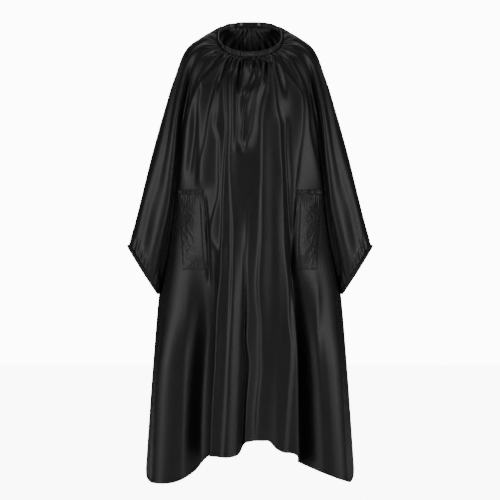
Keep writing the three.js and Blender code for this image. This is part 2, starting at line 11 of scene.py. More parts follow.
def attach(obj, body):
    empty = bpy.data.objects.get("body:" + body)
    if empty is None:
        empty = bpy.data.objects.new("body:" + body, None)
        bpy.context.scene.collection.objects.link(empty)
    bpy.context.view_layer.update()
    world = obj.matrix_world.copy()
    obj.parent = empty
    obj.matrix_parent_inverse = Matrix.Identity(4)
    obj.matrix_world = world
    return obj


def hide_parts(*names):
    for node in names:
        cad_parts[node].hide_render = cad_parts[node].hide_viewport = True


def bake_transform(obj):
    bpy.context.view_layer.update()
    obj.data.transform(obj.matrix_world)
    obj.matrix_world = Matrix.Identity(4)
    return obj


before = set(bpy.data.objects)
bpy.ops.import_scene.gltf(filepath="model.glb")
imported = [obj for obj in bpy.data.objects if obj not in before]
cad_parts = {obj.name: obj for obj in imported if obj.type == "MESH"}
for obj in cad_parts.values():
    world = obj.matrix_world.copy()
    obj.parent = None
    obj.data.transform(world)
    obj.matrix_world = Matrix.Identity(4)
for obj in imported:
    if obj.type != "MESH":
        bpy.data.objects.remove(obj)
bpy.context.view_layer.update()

# ---- Camera --------------------------------------------------------------------------------------
# A long lens level with the cape's middle, straight in front, as for a catalogue picture.
camera_distance = 6.0
view_height = 1.5
view_middle = -0.6405
lens = 85.0

camera_data = bpy.data.cameras.new("catalogue_camera")
camera_data.sensor_width = lens * view_height / camera_distance
camera_data.lens = lens
camera_data.clip_end = 60
camera = bpy.data.objects.new("catalogue_camera", camera_data)
camera.location = (0, -camera_distance, view_middle)
camera.rotation_euler = (math.pi / 2, 0, 0)
bpy.context.scene.collection.objects.link(camera)
bpy.context.scene.camera = camera

# ---- Black satin ---------------------------------------------------------------------------------
# Light polyester satin: black yarn whose long floats give a soft, wide gloss, with a little unevenness
# along the warp and faint creases from folding. It reads the cloth's own map, which is in metres.


class Field:
    """A value of a shader that can be used in sums and products."""

    def __init__(self, tree, socket):
        self.tree = tree
        self.socket = socket

    def joined(self, operation, other):
        node = self.tree.nodes.new("ShaderNodeMath")
        node.operation = operation
        for place, value in enumerate((self, other)):
            if isinstance(value, Field):
                self.tree.links.new(value.socket, node.inputs[place])
            else:
                node.inputs[place].default_value = value
        return Field(self.tree, node.outputs[0])

    def __add__(self, other):
        return self.joined("ADD", other)

    def __mul__(self, other):
        return self.joined("MULTIPLY", other)

    __radd__ = __add__
    __rmul__ = __mul__

    def node(self, kind, settings=None, out=0, **sockets):
        """A node of any kind: settings are its own values, sockets its inputs' values or links."""
        made = self.tree.nodes.new(kind)
        for key, value in (settings or {}).items():
            setattr(made, key, value)
        for key, value in sockets.items():
            inlet = made.inputs[key.replace("_", " ")]
            if isinstance(value, Field):
                self.tree.links.new(value.socket, inlet)
            else:
                inlet.default_value = value
        return Field(self.tree, made.outputs[out])


def finish_of(name, color, roughness, specular=0.5, metallic=0.0, sheen=0.0, uv=False):
    """A named material with its constants set, its start field and its shader's inlet links."""
    material = bpy.data.materials.new(name)
    material.use_nodes = True
    tree = material.node_tree
    shader = tree.nodes["Principled BSDF"]
    shader.inputs["Base Color"].default_value = (*color, 1)
    shader.inputs["Roughness"].default_value = roughness
    shader.inputs["Specular IOR Level"].default_value = specular
    shader.inputs["Metallic"].default_value = metallic
    shader.inputs["Sheen Weight"].default_value = sheen
    shader.inputs["Sheen Roughness"].default_value = 0.4
    start = tree.nodes.new("ShaderNodeTexCoord")
    place = Field(tree, start.outputs["UV" if uv else "Object"])

    def feed(inlet, field):
        tree.links.new(field.socket, shader.inputs[inlet])

    return material, place, feed


def satin_of(name, color, roughness):
    material, cloth, feed = finish_of(name, color, roughness, specular=0.45, sheen=0.05, uv=True)
    # Warp slubs: fine streaks that run down the cloth.
    stretched = cloth.node("ShaderNodeMapping", Vector=cloth, Scale=(260, 12, 1))
    slubs = stretched.node("ShaderNodeTexNoise", out=0, Vector=stretched, Scale=1.0, Detail=2.0)
    # Creases left from folding: a few millimetres to a few centimetres wide.
    creased = cloth.node("ShaderNodeMapping", Vector=cloth, Scale=(34, 15, 1))
    creases = creased.node("ShaderNodeTexNoise", out=0, Vector=creased, Scale=1.0, Detail=3.0, Roughness=0.55)
    # The weave: floats of 0.4 mm in slanting steps, as satin has.
    slanted = cloth.node("ShaderNodeMapping", Vector=cloth, Rotation=(0, 0, math.radians(63)))
    weave = slanted.node("ShaderNodeTexWave", {"bands_direction": "X"}, out=1, Vector=slanted, Scale=380.0,
                         Distortion=1.2)
    feed("Roughness", roughness - 0.03 + 0.06 * creases)
    shade = cloth.node("ShaderNodeMix", {"data_type": "RGBA"}, out=2, Factor=0.15 * slubs + 0.45 * creases)
    for inlet, strength in ((6, 0.75), (7, 1.45)):  # the mixer's two colours
        shade.socket.node.inputs[inlet].default_value = (*[strength * c for c in color], 1)
    feed("Base Color", shade)
    fine = cloth.node("ShaderNodeBump", Strength=0.12, Distance=0.0001, Height=weave)
    soft = cloth.node("ShaderNodeBump", Strength=0.8, Distance=0.0002, Height=creases, Normal=fine)
    streaked = cloth.node("ShaderNodeBump", Strength=0.2, Distance=0.00002, Height=slubs, Normal=soft)
    feed("Normal", streaked)
    return material


satin = satin_of("black_satin", (0.0155, 0.0155, 0.0158), 0.46)

# ---- Front panel ---------------------------------------------------------------------------------
# One wide panel of satin, gathered into the neckband, with raglan seams down to the underarms and side
# seams below them. It hangs in flutes to a hem that arches up over the knees.
mm = 0.001
neck_half_width = 0.095
neck_half_depth = 0.075
neck_tilt = 0.7  # rise of the neck ring for each metre towards the back
neck_back_power = 3  # the ring is round in front and squarer behind
band_height = 0.016
band_half = 0.0022  # half of the band's thickness
seam_neck_x = 0.082  # where the raglan seams meet the band
panel_tuck = 0.001  # the panels' gathered edges run this far under the band

hem_low = -1.330
chest_half_width = 0.192
chest_front = 0.118
chest_back = 0.112
raglan_depth_front = 0.050
raglan_depth_back = 0.066
hem_half_width = 0.314
hem_half_depth = 0.146

shoulder = np.array([0.186, 0.0, -0.035])
cuff_tip = np.array([0.369, 0.0, -0.629])
cuff_width = 0.170
cuff_half_depth = 0.048
cuff_lean = math.radians(32.2)
cuff_height = 0.010
cuff_overlap = 0.9  # share of its height by which a cuff's casing covers the sleeve
mouth_line = np.array([-math.sin(cuff_lean), 0, -math.cos(cuff_lean)])
mouth_out = np.array([math.cos(cuff_lean), 0, -math.sin(cuff_lean)])
sleeve_tip = cuff_tip - mouth_out * cuff_height * cuff_overlap
underarm = cuff_tip + mouth_line * cuff_width - mouth_out * cuff_height * cuff_overlap

seam_rows = 92  # rows of cloth from the neck to the underarm
skirt_rows = 92  # and from there to the hem
seam_turn = math.radians(66)  # how far the front and back turn round before a raglan seam
side_blend = 0.22  # height below the underarm over which the side becomes round
cloth_thickness = 0.0005


def smoothstep(x, low, high):
    t = np.clip((np.asarray(x, float) - low) / (high - low), 0, 1)
    return t * t * (3 - 2 * t)


def mix(a, b, t):
    return a + (b - a) * t


def unit(vectors):
    return vectors / np.maximum(np.linalg.norm(vectors, axis=-1, keepdims=True), 1e-12)


def cubic(a, b, rise, fall, t):
    """The smooth step from a to b that leaves a with slope rise and reaches b with slope fall."""
    return (
        (2 * t**3 - 3 * t**2 + 1) * a + (t**3 - 2 * t**2 + t) * rise
        + (3 * t**2 - 2 * t**3) * b + (t**3 - t**2) * fall
    )


def points_along(line, run, at):
    """Points at lengths `at` along a line whose own points lie at the lengths `run`."""
    return np.stack([np.interp(at, run, line[:, c]) for c in range(3)], axis=1)


def smooth_line(knots, count):
    """count + 1 evenly spaced points on a smooth line through the knots."""
    knots = np.array(knots, float)
    stops = np.concatenate([[0], np.cumsum(np.sqrt(np.linalg.norm(np.diff(knots, axis=0), axis=1)))])
    slopes = np.gradient(knots, stops, axis=0)
    fine = np.linspace(0, stops[-1], 24 * len(knots))
    k = np.clip(np.searchsorted(stops, fine, side="right") - 1, 0, len(stops) - 2)
    width = (stops[k + 1] - stops[k])[:, None]
    t = (fine[:, None] - stops[k][:, None]) / width
    line = cubic(knots[k], knots[k + 1], width * slopes[k], width * slopes[k + 1], t)
    run = np.concatenate([[0], np.cumsum(np.linalg.norm(np.diff(line, axis=0), axis=1))])
    return points_along(line, run, np.linspace(0, run[-1], count + 1))


def curve_at(knots, x):
    """Value at x of a smooth line through (x, value) knots, which doesn't overshoot them."""
    xs, ys = np.array(knots, float).T
    steps = np.diff(ys) / np.diff(xs)
    slopes = np.concatenate([[steps[0]], (steps[1:] + steps[:-1]) / 2, [steps[-1]]])
    slopes[1:-1] = np.where(steps[1:] * steps[:-1] <= 0, 0, slopes[1:-1])
    x = np.clip(x, xs[0], xs[-1])
    k = np.clip(np.searchsorted(xs, x, side="right") - 1, 0, len(xs) - 2)
    width = xs[k + 1] - xs[k]
    return cubic(ys[k], ys[k + 1], width * slopes[k], width * slopes[k + 1], (x - xs[k]) / width)


def ring_at(x, facing, lift=0.0):
    """Points of the neck ring at x, in front (-1) or behind (+1), lift above the band's lower edge."""
    power = 2 if facing < 0 else neck_back_power
    share = np.clip(np.abs(x) / neck_half_width, 0, 1)
    y = facing * neck_half_depth * (1 - share**power) ** (1 / power)
    return np.stack([x + 0 * y, y, neck_tilt * y - band_height + lift], axis=-1)


def raglan_seam(facing, depth):
    """Seam on the +X side from the neckband to the underarm, in front (-1) or behind (+1)."""
    start = ring_at(np.array(seam_neck_x), facing) + (0, 0, panel_tuck)
    drop = underarm[2] - start[2]
    spread = underarm[0] - chest_half_width
    knots = [
        start,
        (0.79 * chest_half_width, facing * 0.85 * depth, start[2] + 0.05 * drop),
        (chest_half_width, facing * depth, start[2] + 0.24 * drop),
        (chest_half_width + 0.31 * spread, facing * 0.87 * depth, start[2] + 0.54 * drop),
        (chest_half_width + 0.6 * spread, facing * 0.5 * depth, start[2] + 0.8 * drop),
        (underarm[0], 0, underarm[2]),
    ]
    return smooth_line(knots, seam_rows)


seam_front = raglan_seam(-1, raglan_depth_front)
seam_back = raglan_seam(1, raglan_depth_back)


def body_edge(z, facing):
    """Half width of the body and y of its side edge at height z."""
    seam = (seam_front if facing < 0 else seam_back)[::-1]
    share = np.clip((underarm[2] - z) / (underarm[2] - hem_low), 0, 1)
    below = z <= underarm[2]
    x = np.where(below, mix(underarm[0], hem_half_width, share**0.85), np.interp(z, seam[:, 2], seam[:, 0]))
    y = np.where(below, 0, np.interp(z, seam[:, 2], seam[:, 1]))
    return x, y


def body_depth(z, facing):
    chest = chest_front if facing < 0 else chest_back
    knots = [
        (hem_low, hem_half_depth),
        (0.6 * hem_low, mix(chest, hem_half_depth, 0.45)),
        (0.25 * hem_low, chest),
        (0.08 * hem_low, 0.86 * chest),
        (-0.04 * hem_low, neck_half_depth),
    ]
    return facing * curve_at(knots, z)


def body_shape(swing, z, facing):
    half_width, edge_y = body_edge(z, facing)
    farthest = mix(seam_turn, math.pi / 2, smoothstep(underarm[2] - z, 0, side_blend))
    turn = swing * farthest
    share = (np.cos(turn) - np.cos(farthest)) / (1 - np.cos(farthest))
    x = half_width * np.sin(turn) / np.sin(farthest)
    return np.stack([x, mix(edge_y, body_depth(z, facing), share), z], axis=-1)


def body_grid(swing, down, facing, hem):
    """Points of the front or back: swing is -1 to 1 across, down is 0 at the band and 1 at the hem."""
    reach = np.sin(swing * seam_turn) / math.sin(seam_turn)
    neck = ring_at(seam_neck_x * reach, facing) + (0, 0, panel_tuck)
    point = body_shape(swing, mix(neck[..., 2], hem(reach), down), facing)
    start = body_shape(swing, neck[..., 2], facing)
    pull = ((1 - down) ** 7)[..., None]
    fix = (neck - start) * pull
    fix[..., 2] = 0
    return point + fix


def rows_down(facing, hem_corner):
    """Shares of the way down at which the side edge meets each row of the sleeve, then of the skirt."""
    seam = seam_front if facing < 0 else seam_back
    upper = (seam[:, 2] - seam[0, 2]) / (hem_corner - seam[0, 2])
    return np.concatenate([upper, np.linspace(upper[-1], 1, skirt_rows + 1)[1:]])


def grid_normals(grid):
    along = np.gradient(grid, axis=0)
    across = np.gradient(grid, axis=1)
    return unit(np.cross(across, along))


def flute_field(lines, across, down):
    """Depth at (across, down) of broad flutes given as lines in order across: (down, across, depth).
    Between two lines it runs smoothly and never past either."""
    shape = np.shape(across)
    across, down = np.ravel(across), np.ravel(down)
    tracks = []
    for line in lines:
        knots = np.array(sorted(line), float)
        tracks.append([curve_at(knots[:, [0, c]], down) for c in (1, 2)])
    places, depths = (np.array([t[c] for t in tracks]) for c in range(2))
    places = np.maximum.accumulate(places, axis=0)
    gaps = np.maximum(np.diff(places, axis=0), 1e-6)
    steps = np.diff(depths, axis=0) / gaps
    product, total = steps[1:] * steps[:-1], steps[1:] + steps[:-1]
    slopes = np.zeros_like(depths)
    slopes[1:-1] = np.where(product > 0, 2 * product / np.where(product > 0, total, 1), 0)
    k = np.clip((places <= across).sum(axis=0) - 1, 0, len(lines) - 2)
    at = np.arange(len(across))
    gap = gaps[k, at]
    t = np.clip((across - places[k, at]) / gap, 0, 1)
    depth = cubic(depths[k, at], depths[k + 1, at], gap * slopes[k, at], gap * slopes[k + 1, at], t)
    return depth.reshape(shape)


crease_middle = 62  # millimetres to the right, where the creases' steep sides change over
gentle_spread = 3.4  # how much wider a ridge's gentle side is than its steep one
ridge_share = 0.8
groove_share = 0.75


def crease_field(creases, across, down):
    """Height at (across, down) of narrow creases: (down, across, height, half width).
    Ridges are steep on one side and fade gently on the other, as folds of hanging cloth do."""
    total = np.zeros(np.shape(across))
    for line in creases:
        knots = np.array(sorted(line), float)
        place, height, width = (curve_at(knots[:, [0, c]], down) for c in (1, 2, 3))
        gentle = np.where(place < crease_middle, across > place, across < place) & (height > 0)
        width = width * np.where(gentle, gentle_spread, 1)
        share = np.where(height > 0, ridge_share, groove_share)
        total += share * height * np.exp(-(((across - place) / width) ** 2))
    return total


def drift(across, down, cell_across, cell_down, seed):
    """Gentle unevenness between about -1 and 1, with features of the two cell sizes."""
    random = np.random.default_rng(seed)
    total = 0
    for _ in range(7):
        wave_across, wave_down = random.uniform(0.5, 1.3, 2) / (cell_across, cell_down)
        tilt = random.choice([-1, 1])
        phase = wave_across * across + tilt * wave_down * down + random.random()
        total = total + np.sin(2 * math.pi * phase)
    return total / 3.2


def gathers(turns, below, count, height, reach, seed):
    """Folds that fan out from a gathered edge: turns goes from 0 to 1 along it, below is metres from it."""
    random = np.random.default_rng(seed)
    edges = np.cumsum(random.uniform(0.55, 1.45, count))
    edges = np.concatenate([[0], edges / edges[-1]])
    phase = np.interp(turns, edges, np.arange(count + 1))
    number = np.clip(phase.astype(int), 0, count - 1)
    strong = random.uniform(0.5, 1.15, count)[number]
    long = (random.uniform(0.45, 1.3, count) * reach)[number]
    crest = np.sin(math.pi * (phase - number)) ** 2 - 0.4
    fade = 1 - smoothstep(below, 0.35 * long, long)
    return height * strong * crest * smoothstep(below, 0, 0.2 * long) * fade


def shoulder_slope(grid, below):
    """The cloth puffs up from the band's lower edge behind, then lies straight out to the shoulder."""
    puff_height, softness = 0.020, 0.004
    aside = np.abs(grid[..., 0])
    behind = smoothstep(grid[..., 1], -0.01, 0.03)
    puff = puff_height * behind * smoothstep(below, 0, 0.008) * (1 - smoothstep(below, 0.03, 0.11))
    height = grid[..., 2] + puff * smoothstep(aside, 0.055, 0.085)
    over = height - mm * curve_at(slope_line, aside / mm)
    height = height - softness * np.logaddexp(0, over / softness)
    height = mix(grid[..., 2], height, smoothstep(below, 0, 0.006))
    return np.stack([grid[..., 0], grid[..., 1], height], axis=-1)


def pick(piece):
    bpy.ops.object.select_all(action="DESELECT")
    bpy.context.view_layer.objects.active = piece
    piece.select_set(True)


def add_piece(name, points, faces, paint, smooth, flat_map=None):
    """An object over points and faces. smooth says which faces are shaded smooth, and flat_map places
    each face's corners in turn on the laid-out cloth, in metres."""
    mesh = bpy.data.meshes.new(name)
    mesh.from_pydata(points, [], faces)
    mesh.polygons.foreach_set("use_smooth", smooth)
    if flat_map is not None:
        layer = mesh.uv_layers.new(name="cloth")
        layer.uv.foreach_set("vector", flat_map.reshape(-1).astype(np.float32))
    mesh.materials.append(paint)
    piece = bpy.data.objects.new(name, mesh)
    bpy.context.scene.collection.objects.link(piece)
    return piece


def add_sheet(name, grid, flip=False):
    """A satin piece over a grid of points, with the cloth's own map in metres and a real thickness."""
    rows, columns = grid.shape[:2]
    index = np.arange(rows * columns).reshape(rows, columns)
    corners = [index[:-1, :-1], index[:-1, 1:], index[1:, 1:], index[1:, :-1]]
    faces = np.stack(corners if flip else corners[::-1], axis=-1).reshape(-1, 4)
    wide = np.cumsum(np.linalg.norm(np.diff(grid, axis=1, prepend=grid[:, :1]), axis=-1), axis=1)
    long = np.cumsum(np.linalg.norm(np.diff(grid, axis=0, prepend=grid[:1]), axis=-1), axis=0)
    wide = wide - wide[:, columns // 2 : columns // 2 + 1]
    flat = np.stack([wide, -long], axis=-1).reshape(-1, 2)[faces.reshape(-1)]
    piece = add_piece(name, grid.reshape(-1, 3).tolist(), faces.tolist(), satin, [True] * len(faces), flat)
    solidify = piece.modifiers.new("thickness", "SOLIDIFY")
    solidify.thickness = cloth_thickness
    solidify.offset = 0
    pick(piece)
    bpy.ops.object.modifier_apply(modifier="thickness")
    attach(piece, "cape")
    return piece


# The shoulder's outline, in millimetres: (from the middle, up).
slope_line = [
    (0, 80), (60, 55), (82, 42), (95, 35), (108, 25), (135, 6), (162, -12), (186, -30), (199, -49),
    (209, -69),
    (228, -124), (420, -400),
]

# Hem height in millimetres above the lowest point, at shares of the half width.
front_hem = [
    (-1.0, 40), (-0.985, 27), (-0.95, 13), (-0.9, 5), (-0.83, 1), (-0.76, 0), (-0.62, 2), (-0.54, 14),
    (-0.48, 34), (-0.42, 62), (-0.36, 80), (-0.33, 84), (-0.12, 85), (-0.08, 94), (-0.05, 118), (0.0, 127),
    (0.1, 130), (0.15, 128), (0.19, 110), (0.24, 98), (0.36, 84), (0.38, 70), (0.44, 60), (0.56, 36),
    (0.7, 12), (0.8, 1), (0.85, 0), (0.9, 4), (0.95, 13), (0.985, 27), (1.0, 40),
]

# The front's broad flutes as seen square on from the front, left to right. Each line runs down through
# (height, sideways place, depth) in millimetres: ridges are above 0 and valleys below.
front_flutes = [
    [(-45, -400, 0), (-1340, -400, 0)],
    # sleeve seam and side seam, then the round flute below the pocket
    [(-45, -84, 0), (-115, -166, -2), (-218, -192, -9), (-480, -222, -9), (-770, -268, 0), (-1340, -314, 0)],
    [(-45, -80, 0), (-218, -180, 2), (-450, -205, 2), (-798, -238, 9), (-1066, -262, 15), (-1330, -272, 18)],
    [(-45, -74, 0), (-450, -178, 0), (-820, -190, 1), (-932, -200, -3), (-1150, -206, -7), (-1330, -210, -9)],
    # the deep valley between that flute and the middle flap
    [(-45, -66, 0), (-450, -150, 0), (-640, -146, -3), (-760, -140, -14), (-868, -140, -38),
     (-932, -146, -50),
     (-1092, -160, -60), (-1330, -168, -64)],
    [(-45, -58, 0), (-450, -118, 0), (-640, -116, -2), (-760, -108, -8), (-868, -110, -24), (-932, -114, -34),
     (-1092, -122, -44), (-1330, -130, -50)],
    # the middle flap: its left edge, its face, its second ridge and its right end
    [(-45, -50, 0), (-450, -78, 0), (-640, -86, 3), (-825, -96, 15), (-986, -102, 21), (-1119, -110, 23),
     (-1330, -116, 25)],
    [(-45, -42, 0), (-450, -66, 0), (-640, -68, 3), (-825, -76, 13), (-986, -84, 18), (-1330, -96, 22)],
    [(-45, -36, 0), (-450, -50, 0), (-640, -50, 4), (-825, -53, 13), (-986, -61, 17), (-1119, -66, 19),
     (-1330, -76, 21)],
    [(-45, -28, 0), (-450, -32, 0), (-640, -30, 2), (-932, -34, 7), (-1330, -44, 9)],
    # the crease at the middle and the recess under the hem's arch
    [(-45, -14, 0), (-450, -10, 0), (-640, -8, -2), (-850, -12, -7), (-932, -12, -10), (-1093, -16, -13),
     (-1330, -26, -16)],
    [(-45, 10, 0), (-450, 35, 0), (-640, 35, 0), (-878, 35, -3), (-1119, 26, -7), (-1330, 20, -9)],
    [(-45, 36, 0), (-450, 62, 0), (-878, 60, 0), (-1119, 56, -1), (-1330, 54, -2)],
    # the right of the middle, up to its edge
    [(-45, 50, 0), (-450, 82, 0), (-640, 85, 2), (-850, 90, 5), (-1093, 90, 7), (-1330, 88, 7)],
    [(-45, 58, 0), (-450, 106, 0), (-640, 112, 4), (-852, 130, 12), (-932, 136, 15), (-1093, 139, 16),
     (-1330, 142, 16)],
    # the deep valley on the right, and the flute outside it
    [(-45, 62, 0), (-450, 118, 0), (-640, 128, -5), (-760, 142, -28), (-932, 154, -58), (-1093, 160, -66),
     (-1330, 168, -70)],
    [(-45, 70, 0), (-450, 150, 0), (-640, 152, 0), (-760, 162, -12), (-932, 180, -22), (-1093, 190, -26),
     (-1330, 198, -30)],
    [(-45, 76, 0), (-450, 190, 0), (-640, 200, 0), (-852, 216, 6), (-1093, 236, 11), (-1330, 246, 13)],
    [(-45, 80, 0), (-218, 180, 2), (-450, 212, 1), (-640, 232, 2), (-852, 248, 9), (-1119, 265, 15),
     (-1330, 275, 18)],
    [(-45, 84, 0), (-115, 166, -2), (-218, 192, -9), (-480, 222, -9), (-770, 268, 0), (-1340, 314, 0)],
    [(-45, 400, 0), (-1340, 400, 0)],
]

# Its narrow creases: each runs down through (height, sideways place, height off the cloth, half width).
front_creases = [
    # left breast: the ridge beside the sleeve, short folds under the band, and two ridges to the pocket
    [(-67, -120, 0, 7), (-110, -140, 4, 7), (-153, -157, 6, 8), (-212, -174, 7, 8), (-265, -184, 7, 9),
     (-373, -195, 6, 10), (-448, -206, 3, 10), (-475, -208, 0, 10)],
    [(-36, -90, 0, 4), (-50, -105, 7, 4), (-83, -129, 8, 4), (-132, -151, 7, 4), (-152, -155, 0, 5)],
    [(-45, -72, 0, 4), (-60, -77, 7, 4), (-83, -90, 8, 4), (-115, -120, 8, 4), (-145, -148, 5, 4),
     (-157, -153, 0, 5)],
    [(-60, -98, 0, 5), (-83, -110, -4, 6), (-115, -136, -4, 6), (-140, -150, 0, 5)],
    [(-130, -136, 0, 8), (-158, -141, 6, 8), (-212, -147, 6, 9), (-319, -147, 6, 10), (-426, -152, 6, 9),
     (-458, -153, 0, 9)],
    [(-68, -72, 0, 6), (-100, -84, 5, 6), (-158, -99, 7, 8), (-223, -115, 7, 8), (-319, -128, 6, 9),
     (-373, -141, 5, 9), (-442, -144, 4, 8), (-462, -144, 0, 8)],
    [(-180, -162, 0, 9), (-292, -168, -6, 9), (-373, -178, -6, 9), (-430, -184, 0, 9)],
    # the facet on the breast and the ridge that wanders down from it
    [(-110, -84, 0, 14), (-200, -88, 9, 16), (-235, -92, 9, 12), (-265, -98, 7, 9), (-319, -88, 6, 8),
     (-399, -88, 6, 8), (-480, -91, 6, 8), (-533, -104, 7, 8), (-587, -114, 7, 8), (-612, -112, 7, 8),
     (-643, -94, 7, 8), (-675, -88, 5, 8), (-705, -86, 0, 8)],
    # the two ridges of the middle flap
    [(-68, -56, 0, 5), (-100, -64, 5, 6), (-142, -69, 7, 6), (-265, -66, 6, 6), (-373, -72, 7, 6),
     (-480, -77, 7, 6),
     (-640, -82, 8, 6), (-718, -85, 8, 6), (-825, -93, 7, 7), (-986, -99, 5, 7), (-1119, -107, 3, 7),
     (-1330, -113, 2, 7)],
    [(-90, -50, 0, 5), (-148, -53, 6, 6), (-265, -53, 6, 6), (-373, -56, 6, 7), (-480, -53, 7, 7),
     (-587, -48, 7, 8),
     (-744, -50, 7, 7), (-825, -53, 6, 7), (-986, -61, 5, 7), (-1119, -66, 5, 8), (-1330, -78, 5, 8)],
    [(-84, -36, 0, 7), (-132, -40, -9, 7), (-212, -40, -10, 8), (-292, -40, -9, 8), (-330, -42, -4, 8),
     (-348, -42, 0, 8)],
    [(-470, -4, 0, 7), (-610, -12, -3, 6), (-691, -15, -6, 5), (-825, -15, -11, 5), (-905, -18, -13, 5),
     (-986, -10, -13, 5), (-1093, -18, -13, 5), (-1216, -24, -13, 5), (-1330, -28, -12, 5)],
    # short grooves between the gathers
    [(-66, -27, 0, 5), (-90, -30, -12, 5), (-130, -35, -10, 5), (-170, -39, 0, 5)],
    [(-66, 14, 0, 4), (-90, 10, -12, 4), (-130, -2, -10, 4), (-172, -13, 0, 5)],
    [(-66, 45, 0, 5), (-88, 46, -12, 5), (-125, 47, -8, 6), (-150, 48, 0, 5)],
    [(-60, -63, 0, 5), (-90, -74, -12, 5), (-140, -92, -8, 5), (-170, -98, 0, 5)],
    [(-60, 73, 0, 5), (-90, 82, -12, 6), (-140, 97, -9, 7), (-190, 105, 0, 6)],
    # the short forked fold under the band, and the long one beside it
    [(-66, -10, 0, 4), (-76, -13, 8, 4), (-121, -21, 9, 4), (-165, -24, 6, 5), (-180, -24, 0, 5)],
    [(-66, 12, 0, 4), (-76, 9, 8, 4), (-115, 3, 9, 4), (-150, -8, 7, 4), (-174, -14, 5, 5),
     (-184, -16, 0, 5)],
    [(-66, 28, 0, 4), (-78, 27, 8, 4), (-121, 25, 10, 4), (-169, 3, 10, 5), (-212, -13, 9, 5),
     (-265, -18, 7, 6),
     (-308, -21, 7, 6), (-335, -16, 6, 6), (-352, -14, 0, 6)],
    [(-66, 36, 0, 4), (-78, 37, 8, 4), (-126, 36, 9, 4), (-169, 21, 10, 5), (-239, 9, 8, 5), (-282, 3, 7, 5),
     (-320, -9, 6, 6), (-342, -14, 0, 6)],
    # right breast: the facet and its ridge down to the arch, and the ridge right of it
    [(-55, 57, 0, 6), (-75, 57, 6, 6), (-105, 57, 7, 7), (-158, 58, 8, 9), (-201, 50, 9, 13),
     (-240, 44, 8, 11),
     (-265, 41, 6, 8), (-373, 41, 6, 8), (-480, 38, 6, 8), (-610, 35, 7, 8), (-744, 27, 8, 8),
     (-878, 35, 7, 8),
     (-986, 35, 7, 8), (-1119, 25, 7, 8), (-1189, 22, 5, 8), (-1230, 20, 0, 8)],
    [(-70, 60, 0, 6), (-150, 70, 4, 7), (-212, 76, 6, 7), (-255, 86, 7, 7), (-319, 89, 7, 7),
     (-426, 94, 7, 7),
     (-533, 97, 8, 7), (-640, 100, 8, 7), (-744, 108, 8, 8), (-852, 110, 8, 8), (-932, 116, 7, 9),
     (-1093, 108, 7, 9), (-1227, 100, 7, 9), (-1330, 98, 6, 9)],
    [(-400, 70, 0, 18), (-560, 74, 6, 18), (-780, 78, 8, 20), (-1000, 76, 8, 20), (-1330, 74, 6, 20)],
    [(-235, 104, 0, 8), (-265, 108, -6, 8), (-319, 108, -7, 8), (-426, 113, -9, 8), (-533, 118, -10, 8),
     (-614, 124, -11, 9), (-700, 130, -11, 10), (-800, 138, 0, 10)],
    [(-46, 66, 0, 5), (-57, 70, 5, 5), (-89, 89, 6, 6), (-132, 121, 7, 7), (-174, 148, 7, 8),
     (-212, 153, 7, 8),
     (-292, 150, 6, 9), (-373, 140, 6, 9), (-453, 132, 4, 8), (-475, 130, 0, 8)],
    [(-50, 88, 0, 6), (-70, 98, -5, 6), (-110, 128, -5, 7), (-150, 152, 0, 7)],
    [(-36, 94, 0, 5), (-46, 100, 4, 5), (-99, 137, 6, 6), (-148, 158, 6, 7), (-212, 169, 6, 7),
     (-292, 175, 6, 8),
     (-373, 194, 6, 8), (-442, 208, 4, 8), (-465, 212, 0, 8)],
    # creases that the pockets' inner edges pull
    [(-470, -139, 0, 6), (-500, -136, -8, 6), (-640, -128, -10, 7), (-690, -127, -10, 7), (-750, -124, 0, 8)],
    [(-470, 143, 0, 6), (-500, 141, -8, 6), (-640, 133, -10, 7), (-690, 131, -10, 7), (-750, 130, 0, 8)],
    # the flutes at the sides
    [(-690, 190, 0, 12), (-771, 196, 6, 12), (-878, 196, 8, 12), (-986, 201, 8, 12), (-1066, 207, 7, 12),
     (-1330, 218, 5, 12)],
    [(-640, 228, 0, 9), (-700, 236, 6, 9), (-852, 247, 8, 9), (-986, 257, 8, 9), (-1119, 263, 8, 9),
     (-1330, 272, 8, 9)],
    [(-560, -206, 0, 12), (-610, -211, 6, 12), (-691, -219, 7, 12), (-798, -235, 8, 14), (-932, -249, 8, 15),
     (-1066, -262, 9, 16), (-1330, -272, 9, 16)],
]


neck_gathers = 17  # across each of the front and the back


def body_panel(facing, hem_knots, flutes, creases, swing, fan_seed, fan_height, fan_reach):
    """Points of a panel: the body's shape with its flutes, creases, unevenness and gathers laid on it."""

    def hem(reach):
        return hem_low + mm * curve_at(hem_knots, reach)

    down = rows_down(facing, hem(1.0))[:, None]
    swing, down = np.broadcast_arrays(swing, down)
    grid = body_grid(swing, down, facing, hem)
    normal = grid_normals(grid) * facing
    # The folds are placed where they are seen from the camera, which looks level at view_middle.
    nearer = camera_distance / (camera_distance + grid[..., 1])
    seen = grid[..., 0] * nearer / mm, (view_middle + (grid[..., 2] - view_middle) * nearer) / mm
    depth = flute_field(flutes, *seen) + crease_field(creases, *seen)
    below = np.cumsum(np.linalg.norm(np.diff(grid, axis=0, prepend=grid[:1]), axis=-1), axis=0)
    held = smoothstep(below, 0, 0.02) * smoothstep(1 - np.abs(swing), 0, 0.04)
    ease = 0.0007 * drift(grid[..., 0], grid[..., 2], 0.15, 0.6, fan_seed)
    fan = gathers(swing / 2 + 0.5, below, neck_gathers, fan_height, fan_reach, fan_seed)
    lift = (depth * mm + ease) * held + fan * smoothstep(1 - np.abs(swing), 0, 0.05)
    return shoulder_slope(grid + normal * lift[..., None], below)


front_swing = np.linspace(-1, 1, 281)[None, :]
front = body_panel(-1, front_hem, front_flutes, front_creases, front_swing, 5, 0.0085, 0.07)
front_cloth = add_sheet("front_satin", front)
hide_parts("front_panel")

